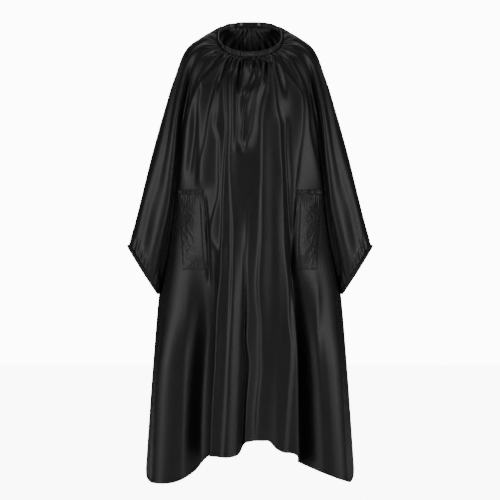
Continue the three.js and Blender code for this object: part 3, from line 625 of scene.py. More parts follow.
# ---- Back panels ---------------------------------------------------------------------------------
# Two panels of the same satin that lap at the middle, the left one outside, so that the cape opens
# behind. They are gathered onto the band like the front and hang in even flutes.
lap_half = 0.020  # half of the lap's width
lap_gap = 0.0016  # how far each panel stands off from the back's middle surface there
back_columns = 140  # in each panel
back_hem = [
    (-1.0, 40), (-0.985, 27), (-0.95, 15), (-0.88, 8), (-0.8, 10), (-0.55, 58), (-0.3, 120), (0, 150),
    (0.3, 120), (0.55, 58), (0.8, 10), (0.88, 8), (0.95, 15), (0.985, 27), (1.0, 40),
]


def flutes(places, deep):
    """Lines of even flutes from the neck to the hem, at shares of the half width."""
    lines = []
    for number, share in enumerate(places):
        side = 0 if abs(share) == 1 else (1 if number % 2 else -1)
        lean = 5 * math.sin(2.1 * number)
        lines.append([
            (-20, 84 * share, 0), (-80, 118 * share, 4.5 * side), (-200, 180 * share, 6 * side),
            (-450, 222 * share + 0.4 * lean, 8 * side), (-790, 268 * share + lean, 0.5 * deep * side),
            (-1330, 314 * share, deep * side),
        ])
    return lines


back_places = [
    -1, -0.9, -0.77, -0.66, -0.52, -0.4, -0.27, -0.17, 0, 0.13, 0.26, 0.36, 0.5, 0.63, 0.76, 0.88, 1,
]
back_folds = flutes(back_places, 30)


def back_swing(x_low, x_high):
    """Swing of each row's points, so that the panel runs between two values of x or, for None, its seam."""
    corner = hem_low + mm * back_hem[-1][1]
    z = seam_back[0, 2] + rows_down(1, corner) * (corner - seam_back[0, 2])
    half_width, _ = body_edge(z, 1)
    farthest = mix(seam_turn, math.pi / 2, smoothstep(underarm[2] - z, 0, side_blend))
    neck_share = np.exp(-np.arange(len(z)) / 10)  # the first rows are as wide as the neck ring

    def at(x):
        if x is None:
            return None
        wide = mix(half_width, seam_neck_x, neck_share)
        return np.arcsin(np.clip(x * np.sin(farthest) / wide, -1, 1)) / farthest

    low = -np.ones(len(z)) if x_low is None else at(x_low)
    high = np.ones(len(z)) if x_high is None else at(x_high)
    return low[:, None] + (high - low)[:, None] * np.linspace(0, 1, back_columns + 1)[None, :]


def back_panel(name, side):
    reach = lap_half if side < 0 else -lap_half
    swing = back_swing(None, reach) if side < 0 else back_swing(reach, None)
    grid = body_panel(1, back_hem, back_folds, [], swing, 23, 0.005, 0.11)
    # The left panel stands off where the two lap, and the right one tucks in behind it.
    lapped = 1 - smoothstep(np.abs(grid[..., 0]), lap_half, lap_half + 0.05)
    grid = grid + grid_normals(grid) * (-side * lap_gap * lapped)[..., None]
    cloth = add_sheet(name + "_back_satin", grid, flip=True)
    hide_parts(name + "_back_panel")
    return grid, cloth


left_back, left_back_cloth = back_panel("left", -1)
right_back, right_back_cloth = back_panel("right", 1)

# ---- Sleeves -------------------------------------------------------------------------------------
# Wide raglan sleeves in two halves each, front and back, joined by a seam over the shoulder and arm.
# They fall to a slanting cuff and are held out only by their own cloth, so they hang in long folds.
sleeve_columns = 84  # in each half


def arm_line():
    start = ring_at(np.array(neck_half_width), -1) + (0, 0, panel_tuck)

    def down(x, z):
        return (mix(shoulder[0], sleeve_tip[0], x), 0, mix(shoulder[2], sleeve_tip[2], z))

    over_shoulder = ((start[0] + shoulder[0]) / 2, 0.012, start[2] + 0.009)
    arm = [down(0.22, 0.15), down(0.55, 0.48), down(0.87, 0.85)]
    return smooth_line([start, over_shoulder, shoulder, *arm, sleeve_tip], seam_rows)


over_arm = arm_line()

# Lines of folds by (share of the way down, share of the way round from the front seam, depth in mm).
sleeve_folds = [
    [(0, -0.2, 0), (1, -0.2, 0)],
    [(0, 0, 0), (1, 0, 0)],
    [(0, 0.05, 0), (0.1, 0.06, -6), (0.23, 0.055, -12), (0.45, 0.05, -14), (0.7, 0.05, -14),
     (0.92, 0.05, -11), (1, 0.05, 0)],
    [(0, 0.2, 0), (0.06, 0.24, 3), (0.14, 0.22, 5), (0.23, 0.18, 6), (0.38, 0.16, 6), (0.52, 0.14, 6),
     (0.67, 0.14, 7),
     (0.82, 0.18, 8), (0.93, 0.2, 6), (1, 0.2, 0)],
    [(0, 0.3, 0), (0.06, 0.33, -2), (0.14, 0.32, -4), (0.23, 0.32, -5), (0.38, 0.28, -6), (0.52, 0.26, -6),
     (0.67, 0.28, -6), (0.82, 0.31, -6), (0.93, 0.31, -5), (1, 0.31, 0)],
    [(0, 0.4, 0), (0.06, 0.41, 2), (0.14, 0.4, 3), (0.3, 0.39, 3), (0.52, 0.37, 2), (0.82, 0.39, 3),
     (1, 0.4, 0)],
    [(0, 0.52, 0), (1, 0.52, 0)],
    [(0, 0.64, 0), (0.1, 0.64, 5), (0.5, 0.65, 8), (0.85, 0.64, 8), (1, 0.64, 0)],
    [(0, 0.74, 0), (0.1, 0.73, -4), (0.5, 0.75, -10), (0.85, 0.74, -9), (1, 0.74, 0)],
    [(0, 0.84, 0), (0.1, 0.82, 6), (0.5, 0.85, 12), (0.85, 0.84, 12), (1, 0.84, 0)],
    [(0, 0.95, 0), (0.1, 0.95, -4), (0.5, 0.95, -12), (0.92, 0.95, -10), (1, 0.95, 0)],
    [(0, 1, 0), (1, 1, 0)],
    [(0, 1.2, 0), (1, 1.2, 0)],
]


def sleeve_surface():
    """The sleeve on the +X side, from the front seam over the arm to the back seam."""
    down = np.arange(seam_rows + 1)[:, None] + np.zeros((1, 2 * sleeve_columns + 1))
    around = np.linspace(0, 1, 2 * sleeve_columns + 1)[None, :] + 0 * down
    share = down / seam_rows
    f, o, b = (line[:, None, :] for line in (seam_front, over_arm, seam_back))
    swell = np.sin(math.pi * around) ** (1 + smoothstep(share, 0, 1))
    grid = mix(f, b, around[..., None]) + (o - (f + b) / 2) * swell[..., None]
    grid[..., 1] -= cuff_half_depth * smoothstep(share, 0, 0.6) * np.sin(2 * math.pi * around)
    front_turn = math.asin(seam_neck_x / neck_half_width)
    back_turn = math.asin((seam_neck_x / neck_half_width) ** (neck_back_power / 2))
    turn = mix(front_turn, math.pi - back_turn, around[:1])
    x_front = neck_half_width * np.sin(turn)
    x_back = neck_half_width * np.sin(turn) ** (2 / neck_back_power)
    in_front = (turn < math.pi / 2)[..., None]
    ring = np.where(in_front, ring_at(x_front, -1), ring_at(x_back, 1)) + (0, 0, panel_tuck)
    grid = grid + (ring - grid[:1]) * ((1 - share) ** 3)[..., None]
    below = np.cumsum(np.linalg.norm(np.diff(grid, axis=0, prepend=grid[:1]), axis=-1), axis=0)
    above = below[-1:] - below
    depth = flute_field(sleeve_folds, around, share)
    ends = smoothstep(around, 0, 0.04) * smoothstep(1 - around, 0, 0.04)
    held = smoothstep(below, 0, 0.04) * smoothstep(above, 0, 0.03)
    ease = 0.0008 * drift(around, share, 0.5, 0.6, 41)
    fan = gathers(around, below, 13, 0.0035, 0.08, 43)
    pleats = gathers(around, above, 26, 0.003, 0.06, 44)
    lift = (depth * mm + ease) * held + fan + pleats
    return shoulder_slope(grid - grid_normals(grid) * (lift * ends)[..., None], below)


right_sleeve = sleeve_surface()
sleeves = {"right": right_sleeve, "left": right_sleeve * (-1, 1, 1)}
for side_name, sleeve in sleeves.items():
    for half, columns in (("front", slice(0, sleeve_columns + 1)), ("back", slice(sleeve_columns, None))):
        cloth = add_sheet(f"{side_name}_sleeve_{half}_satin", sleeve[:, columns], flip=side_name == "left")
        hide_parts(f"{side_name}_sleeve_{half}")

# ---- Hems and seam welts -------------------------------------------------------------------------
# The lower edges and the two back edges are folded twice and lockstitched. The raglan, over-arm and side
# seams are narrow welts, topstitched from outside. Thread is black and a little glossier than the cloth.
hem_width = 0.011
hem_half = 0.0010  # half of a hem's thickness, and likewise for the other strips
welt_width = 0.0045
welt_half = 0.0009
stitch_pitch = 0.0032
stitch_size = 0.0003  # half width, and rise from the cloth


def path_tangents(path, closed=False):
    if closed:
        return unit(np.roll(path, -1, axis=0) - np.roll(path, 1, axis=0))
    return unit(np.gradient(path, axis=0))


def puckers(run, length, pitch, seed, flat=None):
    """Values of 0 to 1 for the little puffs between gathers, one for each pitch along the run."""
    random = np.random.default_rng(seed)
    count = max(int(round(length / pitch)), 1)
    edges = np.cumsum(random.uniform(0.6, 1.4, count))
    edges = np.concatenate([[0], edges / edges[-1]]) * length
    phase = np.interp(run, edges, np.arange(count + 1))
    number = np.clip(phase.astype(int), 0, count - 1)
    value = np.sin(math.pi * (phase - number)) ** 2 * random.uniform(0.45, 1.0, count)[number]
    return value if flat is None else value * (1 - flat)


def add_strip(name, low, up, out, height, half, paint=satin, closed=False, puff=0.0, pitch=0.007, seed=1,
              flat=None, sides=20, body="cape"):
    """A soft folded strip: low is its lower line, up and out its directions, half its half thickness.
    puff is how far it swells between gathers, and flat is 1 where it isn't gathered."""
    count = len(low)
    height = np.broadcast_to(height, count)[:, None]
    steps = np.linalg.norm(np.diff(low, axis=0, append=low[:1]), axis=-1)
    run = np.concatenate([[0], np.cumsum(steps)[:-1]])
    length = run[-1] + (steps[-1] if closed else 0)
    turn = np.arange(sides)[None, :] / sides * 2 * math.pi
    across = np.sign(np.cos(turn)) * np.abs(np.cos(turn)) ** 0.55
    along = np.sign(np.sin(turn)) * np.abs(np.sin(turn)) ** 0.8
    swell = puckers(run, length, pitch, seed, flat)[:, None] * puff
    swing = (puckers(run, length, 2.3 * pitch, seed + 1, flat)[:, None] - 0.4) * puff
    lateral = across * (half + swell * (1 - 0.55 * np.abs(along))) + 0.7 * swing * (0.4 + 0.6 * along)
    rise = height / 2 * (1 + along) + 0.5 * swing * np.clip(along, 0, 1)
    grid = low[:, None] + up[:, None] * rise[..., None] + out[:, None] * lateral[..., None]
    index = np.arange(count * sides).reshape(count, sides)
    ahead = np.roll(index, -1, axis=0) if closed else index[1:]
    here = index if closed else index[:-1]
    around = [here, np.roll(here, -1, axis=1), np.roll(ahead, -1, axis=1), ahead]
    faces = np.stack(around, axis=-1).reshape(-1, 4).tolist()
    if not closed:
        faces += [index[0][::-1].tolist(), index[-1].tolist()]
    round_length = np.linspace(0, 2 * (float(height.max()) + 2 * half), sides, endpoint=False)
    flat_map = np.stack(np.broadcast_arrays(run[:, None], round_length[None, :]), axis=-1).reshape(-1, 2)
    corners = np.array([corner for face in faces for corner in face])
    smooth = [len(face) == 4 for face in faces]
    piece = add_piece(name, grid.reshape(-1, 3).tolist(), faces, paint, smooth, flat_map[corners])
    outward(piece)
    if body:
        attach(piece, body)
    return piece


def outward(piece):
    """Turns all of a closed piece's faces outward."""
    pick(piece)
    bpy.ops.object.mode_set(mode="EDIT")
    bpy.ops.mesh.select_all(action="SELECT")
    bpy.ops.mesh.normals_make_consistent(inside=False)
    bpy.ops.object.mode_set(mode="OBJECT")


def thread_paint():
    material, place, feed = finish_of("black_thread", (0.024, 0.024, 0.024), 0.4, specular=0.5)
    twist = place.node("ShaderNodeTexWave", {"bands_direction": "DIAGONAL"}, out=1, Vector=place,
                       Scale=1800.0)
    feed("Roughness", 0.34 + 0.14 * twist)
    feed("Normal", place.node("ShaderNodeBump", Strength=0.4, Distance=0.0001, Height=twist))
    return material


thread = thread_paint()


def add_stitches(name, rows, body="cape"):
    """Lockstitches along lines, each a little closed spindle: rows is a list of (points, directions out)."""
    points, faces = [], []
    for line, out in rows:
        steps = np.linalg.norm(np.diff(line, axis=0), axis=-1)
        run = np.concatenate([[0], np.cumsum(steps)])
        count = max(int(run[-1] / stitch_pitch), 1)
        middle = (np.arange(count) + 0.5) * run[-1] / count
        centre = points_along(line, run, middle)
        facing = unit(points_along(out, run, middle))
        ahead = points_along(line, run, middle + 0.3 * stitch_pitch) - centre
        ahead = unit(ahead) * 0.4 * stitch_pitch
        aside = unit(np.cross(ahead, facing)) * stitch_size
        above = facing * stitch_size
        waist = [centre + aside, centre + above, centre - aside, centre - above]
        corners = np.stack([centre + ahead, *waist, centre - ahead], axis=1)
        start = len(points)
        points += corners.reshape(-1, 3).tolist()
        for number in range(count):
            first = start + 6 * number
            for k in range(4):
                one, two = first + 1 + k, first + 1 + (k + 1) % 4
                faces += [(first, two, one), (first + 5, one, two)]
    piece = add_piece(name, points, faces, thread, [True] * len(faces))
    if body:
        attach(piece, body)
    return piece


def add_hem(name, grid, out_sign, edge):
    """The folded hem over one edge of a panel (foot, first column or last), and its row of stitches."""
    surface = grid_normals(grid) * out_sign
    if edge == "foot":
        line, inner, out = grid[-1], grid[-4], surface[-2]
    elif edge == "first":
        line, inner, out = grid[:, 0], grid[:, 4], surface[:, 1]
    else:
        line, inner, out = grid[:, -1], grid[:, -5], surface[:, -2]
    up = unit(inner - line)
    fold_over = 0.0004  # the hem's fold reaches this far past the panel's edge
    stitch_inset = 0.002
    hem = add_strip(name + "_hem", line - up * fold_over, up, out, hem_width, hem_half, puff=0.0003,
                    pitch=0.011, seed=len(name), sides=14)
    row = line + up * (hem_width - stitch_inset) + out * (hem_half * 0.95)
    return [hem, add_stitches(name + "_hem_stitches", [(row, out)])]


front_hems = add_hem("front", front, -1, "foot")
left_back_hems = add_hem("left_back", left_back, 1, "foot")
left_back_hems += add_hem("left_back_edge", left_back, 1, "last")
right_back_hems = add_hem("right_back", right_back, 1, "foot")
right_back_hems += add_hem("right_back_edge", right_back, 1, "first")


def add_welt(name, line, along, out):
    """A welt beside a seam line: along is the direction in which it lies on the cloth."""
    welt = add_strip(name, line - along * welt_width / 2, along, out, welt_width, welt_half, puff=0.0004,
                     pitch=0.009, seed=len(name), sides=12)
    row = line + along * 0.0012 + out * welt_half  # the stitches are 1.2 mm from the seam
    return [welt, add_stitches(name + "_stitches", [(row[2:-2], out[2:-2])])]


seam_welts = []
for side_name, sleeve in sleeves.items():
    flip = -1 if side_name == "left" else 1
    surface = -grid_normals(sleeve) * flip
    last = 2 * sleeve_columns
    for seam_name, column, step in (("front_raglan", 0, 3), ("over_arm", sleeve_columns, 3),
                                    ("back_raglan", last, -3)):
        line = sleeve[:, column]
        seam_welts += add_welt(f"{side_name}_{seam_name}_welt", line, unit(sleeve[:, column + step] - line),
                               unit(surface[:, min(max(column, 1), last - 1)]))
for side_name, column in (("left", 0), ("right", -1)):
    beyond = 3 if column == 0 else -4
    line = front[seam_rows:, column]
    out = np.repeat([[-1.0 if column == 0 else 1.0, 0, 0]], len(line), axis=0)
    along = unit(front[seam_rows:, beyond] - line)
    seam_welts += add_welt(f"{side_name}_side_welt", line, along, out)

# ---- Neckband and its elastic --------------------------------------------------------------------
# A folded strip of the same satin, sewn over the gathered panels. An elastic inside draws it into fine
# puckers. It is flat and unstretched only on the underlap at the back, which carries the studs.
band_pitch = 0.0076  # spacing of the band's puckers
band_puff = 0.0017  # how far the band swells between them
band_steps = 1500
tab_root_x = -0.060
snap_spacing = 0.054
past_snap = 0.014  # the underlap runs this far past each press stud
underlap_x = -snap_spacing / 2 - past_snap
elastic_end_x = snap_spacing / 2 + past_snap
elastic_margin = 0.0025  # from an elastic's edge to its casing's
elastic_half = 0.0007


def ring_path(x_start, x_end, steps):
    """Points of the ring from x_start on the back, round by the front, to x_end on the back."""

    def angle_of(x):
        return math.asin(abs(x / neck_half_width) ** (neck_back_power / 2))

    first = -math.pi + math.copysign(angle_of(x_start), -x_start)
    last = math.pi - math.copysign(angle_of(x_end), x_end)
    turn = np.linspace(first, last, steps + 1)
    front_side = np.cos(turn) > 0
    power = np.where(front_side, 1, 2 / neck_back_power)
    x = neck_half_width * np.sign(np.sin(turn)) * np.abs(np.sin(turn)) ** power
    return np.where(front_side[:, None], ring_at(x, -1), ring_at(x, 1))


def elastic_paint():
    material, cloth, feed = finish_of("black_elastic", (0.02, 0.02, 0.02), 0.8, specular=0.2, uv=True)
    ribs = cloth.node("ShaderNodeTexWave", {"bands_direction": "Y"}, out=1, Vector=cloth, Scale=260.0)
    yarns = cloth.node("ShaderNodeTexWave", {"bands_direction": "X"}, out=1, Vector=cloth, Scale=420.0,
                       Distortion=0.6)
    feed("Roughness", 0.72 + 0.2 * yarns)
    knit = cloth.node("ShaderNodeBump", Strength=0.8, Distance=0.0003, Height=0.7 * ribs + 0.3 * yarns)
    feed("Normal", knit)
    return material


elastic = elastic_paint()


def all_up(count):
    return np.repeat([[0.0, 0, 1]], count, axis=0)


def upright(path):
    up = all_up(len(path))
    return up, unit(np.cross(path_tangents(path), up))


band_path = ring_path(tab_root_x - 0.001, underlap_x, band_steps)
band_up, band_out = upright(band_path)
last_third = np.arange(band_steps + 1) > 2 * band_steps // 3
on_underlap = smoothstep(elastic_end_x + 0.012 - band_path[:, 0], 0, 0.012) * last_third
neck_casing = add_strip("neck_casing_satin", band_path, band_up, band_out, band_height, band_half,
                        puff=band_puff, pitch=band_pitch, seed=7, flat=on_underlap, sides=28)
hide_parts("neck_casing")
elastic_path = ring_path(tab_root_x - 0.007, elastic_end_x, 500)
elastic_up, elastic_out = upright(elastic_path)
neck_elastic = add_strip(
    "neck_elastic_band", elastic_path + elastic_up * elastic_margin, elastic_up, elastic_out,
    band_height - 2 * elastic_margin, elastic_half, paint=elastic, sides=12,
)
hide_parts("neck_elastic")
band_rows = []
for level in (0.0022, band_height - 0.0030):
    for face in (1, -1):
        lift = band_half + (0.35 if level < 0.005 else 0.15) * band_puff
        band_rows.append((band_path + band_up * level + band_out * face * lift, band_out * face))
neck_stitches = add_stitches("neck_casing_stitches", band_rows)

# ---- Cuffs ---------------------------------------------------------------------------------------
# Each sleeve's mouth is folded over a narrow elastic and stitched once round, which gathers it.
cuff_half = 0.0020
cuff_pitch = 0.0075
cuff_tuck = 0.001  # the casing reaches this far back over the sleeve's edge
for side_name, sleeve in sleeves.items():
    flip = -1 if side_name == "left" else 1
    loop = sleeve[-1, :-1]
    steps = np.linalg.norm(np.diff(loop, axis=0, append=loop[:1]), axis=-1)
    run = np.concatenate([[0], np.cumsum(steps)])
    closed_loop = np.concatenate([loop, loop[:1]])
    loop = points_along(closed_loop, run, np.linspace(0, run[-1], 480, endpoint=False))
    axis = np.repeat([mouth_out * (flip, 1, 1)], len(loop), axis=0)
    out = unit(np.cross(path_tangents(loop, closed=True), axis))
    out = out * np.sign(np.sum(out * (loop - loop.mean(axis=0)), axis=1).mean())
    casing = add_strip(f"{side_name}_cuff_casing_satin", loop - axis * cuff_tuck, axis, out, cuff_height,
                       cuff_half, closed=True, puff=0.0009, pitch=cuff_pitch, seed=11, sides=20)
    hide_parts(f"{side_name}_cuff_casing")
    band = add_strip(
        f"{side_name}_cuff_elastic_band", loop + axis * (elastic_margin - cuff_tuck), axis, out,
        cuff_height - 2 * elastic_margin, elastic_half, paint=elastic, closed=True, sides=12,
    )
    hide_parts(f"{side_name}_cuff_elastic")
    row = np.concatenate([loop, loop[:1]]) + axis[:1] * 0.0008
    outs = np.concatenate([out, out[:1]])
    stitches = add_stitches(f"{side_name}_cuff_stitches", [(row + outs * (cuff_half + 0.0003), outs)])

# ---- Pockets -------------------------------------------------------------------------------------
# Two long patch pockets of the same satin, topstitched at both sides and the foot. An elastic in a casing
# gathers the mouth, so the cloth below it is crinkled towards the outer edge, and bags a little.
pocket_inner_x = 0.138
pocket_width = 0.074
pocket_top = -0.461
pocket_length = 0.237
pocket_slant = 0.014  # how far the foot lies nearer to the middle than the mouth
pocket_hem = 0.014  # height of the casing round the mouth
pocket_bag = 0.0042  # how far the pocket stands off at its fullest
pocket_fold = 0.36  # share of the width at which it does
pocket_standoff = 0.0012  # of the sewn edges
pocket_columns = 64
pocket_rows = 150
pocket_casing_half = 0.0015
mouth_steps = 240

front_quads = front_cloth.data
front_tree = BVHTree.FromPolygons(
    [vertex.co for vertex in front_quads.vertices], [tuple(face.vertices) for face in front_quads.polygons]
)


def on_front(x, z):
    """Point of the front's outer face at (x, z), and the direction that the cape faces there."""
    hit, _, _, _ = front_tree.ray_cast(Vector((x, -1, z)), Vector((0, 1, 0)))
    half_width = float(body_edge(z, -1)[0])
    turn = math.asin(min(max(x / half_width, -1), 1))
    out = np.array([math.sin(turn) * -float(body_depth(z, -1)) / half_width, -math.cos(turn), 0])
    return np.array(hit), out / np.linalg.norm(out)


def rumple(across, down, cell, seed):
    """Irregular crinkles of 0 to 1 with sharp ridges about a cell apart, running every way."""
    random = np.random.default_rng(seed)
    total, bend = 0, 0.35 * cell * drift(across, down, 2.3 * cell, 2.3 * cell, seed + 7)
    for _ in range(9):
        way = random.uniform(0, math.pi)
        wave = 2 * math.pi * random.uniform(0.3, 0.75) / cell
        run = (across + bend) * math.cos(way) + (down - bend) * math.sin(way)
        total = total + np.sin(wave * run + 2 * math.pi * random.random())
    return 1 - np.minimum(np.abs(total) / 2.6, 1)


def pocket_grid(side, seed):
    points = np.zeros((pocket_rows + 1, pocket_columns + 1, 3))
    outs = np.zeros_like(points)
    across = np.linspace(0, 1, pocket_columns + 1)[None, :]
    fall = np.linspace(0, 1, pocket_rows + 1)[:, None]
    top = pocket_top - pocket_hem
    z = top + fall * (pocket_top - pocket_length - top)
    drop = (pocket_top - z) / pocket_length
    x = pocket_inner_x + across * pocket_width - drop * pocket_slant
    for i in range(pocket_rows + 1):
        for j in range(pocket_columns + 1):
            points[i, j], outs[i, j] = on_front(side * float(x[i, j]), float(z[i, 0]))
    below = fall * (pocket_length - pocket_hem) + 0 * across
    # The cloth rises from the sewn inner edge to a soft fold and falls back to the outer edge.
    slack = np.logaddexp(0, (across - pocket_fold) / 0.05) * 0.05 / 0.64
    belly = smoothstep(across, 0, 0.16) * np.maximum(1 - slack, 0)
    bag = pocket_bag * belly * smoothstep(1 - fall, 0, 0.22) * (0.75 + 0.25 * smoothstep(fall, 0, 0.3))
    crinkled = smoothstep(across, 0.3, 0.5) * smoothstep(1 - across, 0, 0.08) * smoothstep(1 - fall, 0, 0.06)
    crinkle = 0.0007 * rumple(across * pocket_width, below, 0.022, seed)
    crinkle += 0.0003 * rumple(across * pocket_width, below, 0.009, seed + 1)
    mouth = gathers(across + 0 * below, below + 0.004, 13, 0.0020, 0.05, seed + 2)
    foot = gathers(across + 0 * below, (1 - fall) * pocket_length + 0.002, 12, 0.0010, 0.018, seed + 3)
    inside = smoothstep(across, 0, 0.06), smoothstep(1 - across, 0, 0.06)
    lift = pocket_standoff + bag + crinkle * crinkled + (mouth + foot) * inside[0] * inside[1]
    smooth = points.copy()
    for _ in range(6):
        smooth[:, 1:-1] = (smooth[:, :-2] + 2 * smooth[:, 1:-1] + smooth[:, 2:]) / 4
    centre_share = (smoothstep(across, 0, 0.15) * smoothstep(1 - across, 0, 0.15))[..., None]
    points = mix(points, smooth, centre_share)
    return points + outs * np.maximum(lift, 0.0008)[..., None], outs


pocket_pieces = {}
for side_name, side in (("left", -1), ("right", 1)):
    pocket, outs = pocket_grid(side, 60 + side)
    bag = add_sheet(f"{side_name}_pocket_satin", pocket, flip=side < 0)
    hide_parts(f"{side_name}_pocket")
    even = np.linspace(0, pocket_columns, mouth_steps)
    mouth = points_along(pocket[0], np.arange(pocket_columns + 1), even)
    mouth_up = all_up(mouth_steps)
    mouth_facing = np.repeat(outs[:1, pocket_columns // 2], mouth_steps, axis=0)
    low = mouth - mouth_up * 0.001 + mouth_facing * pocket_standoff
    casing = add_strip(f"{side_name}_pocket_casing_satin", low, mouth_up, mouth_facing, pocket_hem,
                       pocket_casing_half, puff=0.0016, pitch=0.0062, seed=31 + side, sides=24)
    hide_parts(f"{side_name}_pocket_casing")
    within = slice(4, -4)  # the elastic stops short of the casing's ends
    low = mouth + mouth_up * (elastic_margin - 0.001) + mouth_facing * pocket_standoff
    band = add_strip(
        f"{side_name}_pocket_elastic_band", low[within], mouth_up[within], mouth_facing[within],
        pocket_hem - 2 * elastic_margin, elastic_half, paint=elastic, sides=12,
    )
    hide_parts(f"{side_name}_pocket_elastic")
    inset = 2  # the stitches run this many columns or rows inside the edge
    edges = [(slice(None), inset), (slice(None), -1 - inset), (-1 - inset, slice(None))]
    edge_rows = [(pocket[edge] + outs[edge] * cloth_thickness, outs[edge]) for edge in edges]
    edge_rows.append((mouth + mouth_facing * (pocket_casing_half + 0.0016) + mouth_up * 0.001, mouth_facing))
    pocket_pieces[side_name] = bag, [casing, band, add_stitches(f"{side_name}_pocket_stitches", edge_rows)]

# ---- Closure tab ---------------------------------------------------------------------------------
# A folded strip of satin with a round end, sewn to the band's left end at the back. Two press studs hold it
# down over the underlap.
tab_height = 0.014
tab_half = 0.0008
tab_end_x = snap_spacing / 2 + 0.018
tab_sewn_x = tab_root_x - 0.013  # the tab is sewn over the band from here to its hinge line
tab_bend_x = tab_root_x + 0.012  # and carries its studs from here on
stack_height = 0.0036  # of a closed press stud, between the band and the tab
tab_steps = 200
tab_offset = band_half + stack_height + tab_half
tab_root_offset = band_half + 0.0004 + tab_half


def over_band(x, offset):
    """The middle of the band's height at x on the back, moved outwards by an offset."""
    step = 0.0005
    slope = (ring_at(x + step, 1)[:, 1] - ring_at(x - step, 1)[:, 1]) / (2 * step)
    out = unit(np.stack([-slope, np.ones_like(x), 0 * x], axis=1))
    centre = ring_at(x, 1)
    middle_height = neck_tilt * centre[:, 1] - band_height / 2
    centre = centre + out * np.reshape(offset, (-1, 1))
    centre[:, 2] = middle_height
    return centre, out


tab_share = 1 - (1 - np.linspace(0, 1, tab_steps)) ** 1.35  # closer together towards the round end
tab_x = tab_sewn_x + tab_share * (tab_end_x - tab_sewn_x)
tab_lift = smoothstep(tab_x, tab_root_x, tab_root_x + 0.02)
tab_centre, tab_out = over_band(tab_x, mix(tab_root_offset + 0.0012, tab_offset, tab_lift))
past = np.maximum(tab_x - (tab_end_x - tab_height / 2), 0)
tab_tall = 2 * np.maximum(np.sqrt(np.maximum((tab_height / 2) ** 2 - past**2, 0)), 0.0012)
tab_up = all_up(tab_steps)
tab = add_strip("closure_tab_satin", tab_centre - tab_up * tab_tall[:, None] / 2, tab_up, tab_out, tab_tall,
                tab_half, puff=0.0001, pitch=0.02, sides=28, body=None)
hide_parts("closure_tab")
tab_inset = tab_tall / 2 - 0.0022
straight = slice(3, 176)  # the part before the round end
tab_face = tab_out * (tab_half + 0.0001)
stitch_rows = []
for level in (1, -1):
    row = tab_centre + tab_up * (level * tab_inset)[:, None] + tab_face
    stitch_rows.append((row[straight], tab_out[straight]))
for at in (4, 22):  # two rows across the sewn root
    across = np.linspace(-1, 1, 12)[:, None] * tab_inset[at]
    row = tab_centre[at] + tab_up[:12] * across + tab_face[at]
    stitch_rows.append((row, np.repeat(tab_out[at : at + 1], 12, axis=0)))
tab_stitches = add_stitches("closure_tab_stitches", stitch_rows, body=None)
bend_from, bend_to = (over_band(np.array([x]), tab_root_offset)[0][0] for x in (tab_root_x, tab_bend_x))
for cloth in (tab, tab_stitches):
    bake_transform(cloth)

# ---- Press studs ---------------------------------------------------------------------------------
# Two nickel-plated ring studs: posts and studs on the underlap, sockets and caps on the tab.


def nickel_paint():
    material, place, feed = finish_of("brushed_nickel", (0.72, 0.71, 0.69), 0.36, metallic=1.0)
    worn = place.node("ShaderNodeTexNoise", out=0, Vector=place, Scale=900.0, Detail=3.0)
    scratched = place.node("ShaderNodeTexNoise", out=0, Vector=place, Scale=4000.0, Detail=2.0)
    feed("Roughness", 0.28 + 0.2 * worn)
    feed("Normal", place.node("ShaderNodeBump", Strength=0.15, Distance=0.00004, Height=scratched))
    return material


nickel = nickel_paint()
for name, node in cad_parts.items():
    if "_snap_" in name:
        node.data.materials.clear()
        node.data.materials.append(nickel)

# ---- Pocket pieces -------------------------------------------------------------------------------
# Each side's pocket and the strips and stitches sewn to it are looked up here; nothing more is done with
# them.
for side_name in sleeves:
    bag, sewn = pocket_pieces[side_name]

# ---- Studio --------------------------------------------------------------------------------------
# Two tall soft lights at the sides in front, a dim one above, and one behind that draws a thin rim. The
# floor is pale and the background white.
floor_level = -1.5
background_glow = 12.0


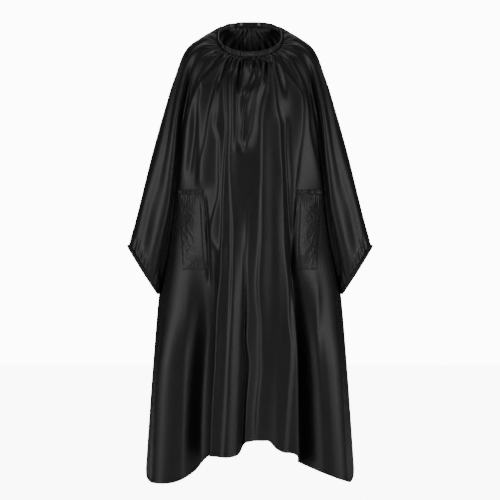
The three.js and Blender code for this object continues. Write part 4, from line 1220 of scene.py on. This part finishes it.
def floor_paint():
    material, place, feed = finish_of("pale_floor", (0.9, 0.9, 0.9), 0.9)
    tree = place.tree
    grain = place.node("ShaderNodeTexNoise", out=0, Vector=place, Scale=3.0)
    feed("Roughness", 0.85 + 0.1 * grain)
    # The camera sees the floor almost as bright as the background, as on a lit sweep.
    glow = place.node("ShaderNodeEmission", Color=(1, 1, 1, 1), Strength=background_glow)
    seen = place.node("ShaderNodeLightPath")
    lit = Field(tree, tree.nodes["Principled BSDF"].outputs[0])
    either = tree.nodes.new("ShaderNodeMixShader")
    tree.links.new((0.8 * seen).socket, either.inputs[0])
    tree.links.new(lit.socket, either.inputs[1])
    tree.links.new(glow.socket, either.inputs[2])
    tree.links.new(either.outputs[0], tree.nodes["Material Output"].inputs["Surface"])
    return material


bpy.ops.object.select_all(action="DESELECT")
bpy.ops.mesh.primitive_plane_add(size=18, location=(0, 0, floor_level))
floor = bpy.context.object
floor.name = "studio_floor"
floor.data.materials.append(floor_paint())


def softbox(name, place, target, size, watts):
    data = bpy.data.lights.new(name, "AREA")
    data.shape = "RECTANGLE"
    data.size, data.size_y = size
    data.energy = watts
    lamp = bpy.data.objects.new(name, data)
    lamp.location = place
    lamp.rotation_euler = (Vector(target) - Vector(place)).to_track_quat("-Z", "Y").to_euler()
    bpy.context.scene.collection.objects.link(lamp)


softbox("left_softbox", (-3.0, -2.9, 0.1), (0, 0, -0.65), (1.1, 2.6), 56)
softbox("right_softbox", (3.0, -2.9, 0.1), (0, 0, -0.65), (1.1, 2.6), 56)
softbox("top_softbox", (0, 0.8, 2.5), (0, 0, -0.3), (2.6, 1.2), 27)
softbox("rear_softbox", (0, 4.2, -0.2), (0, 0, -0.6), (3.0, 1.8), 80)

world = bpy.data.worlds.new("studio")
world.use_nodes = True
bpy.context.scene.world = world
dim = Field(world.node_tree, world.node_tree.nodes["Background"].outputs[0])
dim.socket.node.inputs["Strength"].default_value = 0.16
seen = dim.node("ShaderNodeBackground", Color=(1, 1, 1, 1), Strength=background_glow)
rays = world.node_tree.nodes.new("ShaderNodeLightPath")
either = world.node_tree.nodes.new("ShaderNodeMixShader")
world.node_tree.links.new(rays.outputs["Is Camera Ray"], either.inputs[0])
world.node_tree.links.new(dim.socket, either.inputs[1])
world.node_tree.links.new(seen.socket, either.inputs[2])
world.node_tree.links.new(either.outputs[0], world.node_tree.nodes["World Output"].inputs["Surface"])
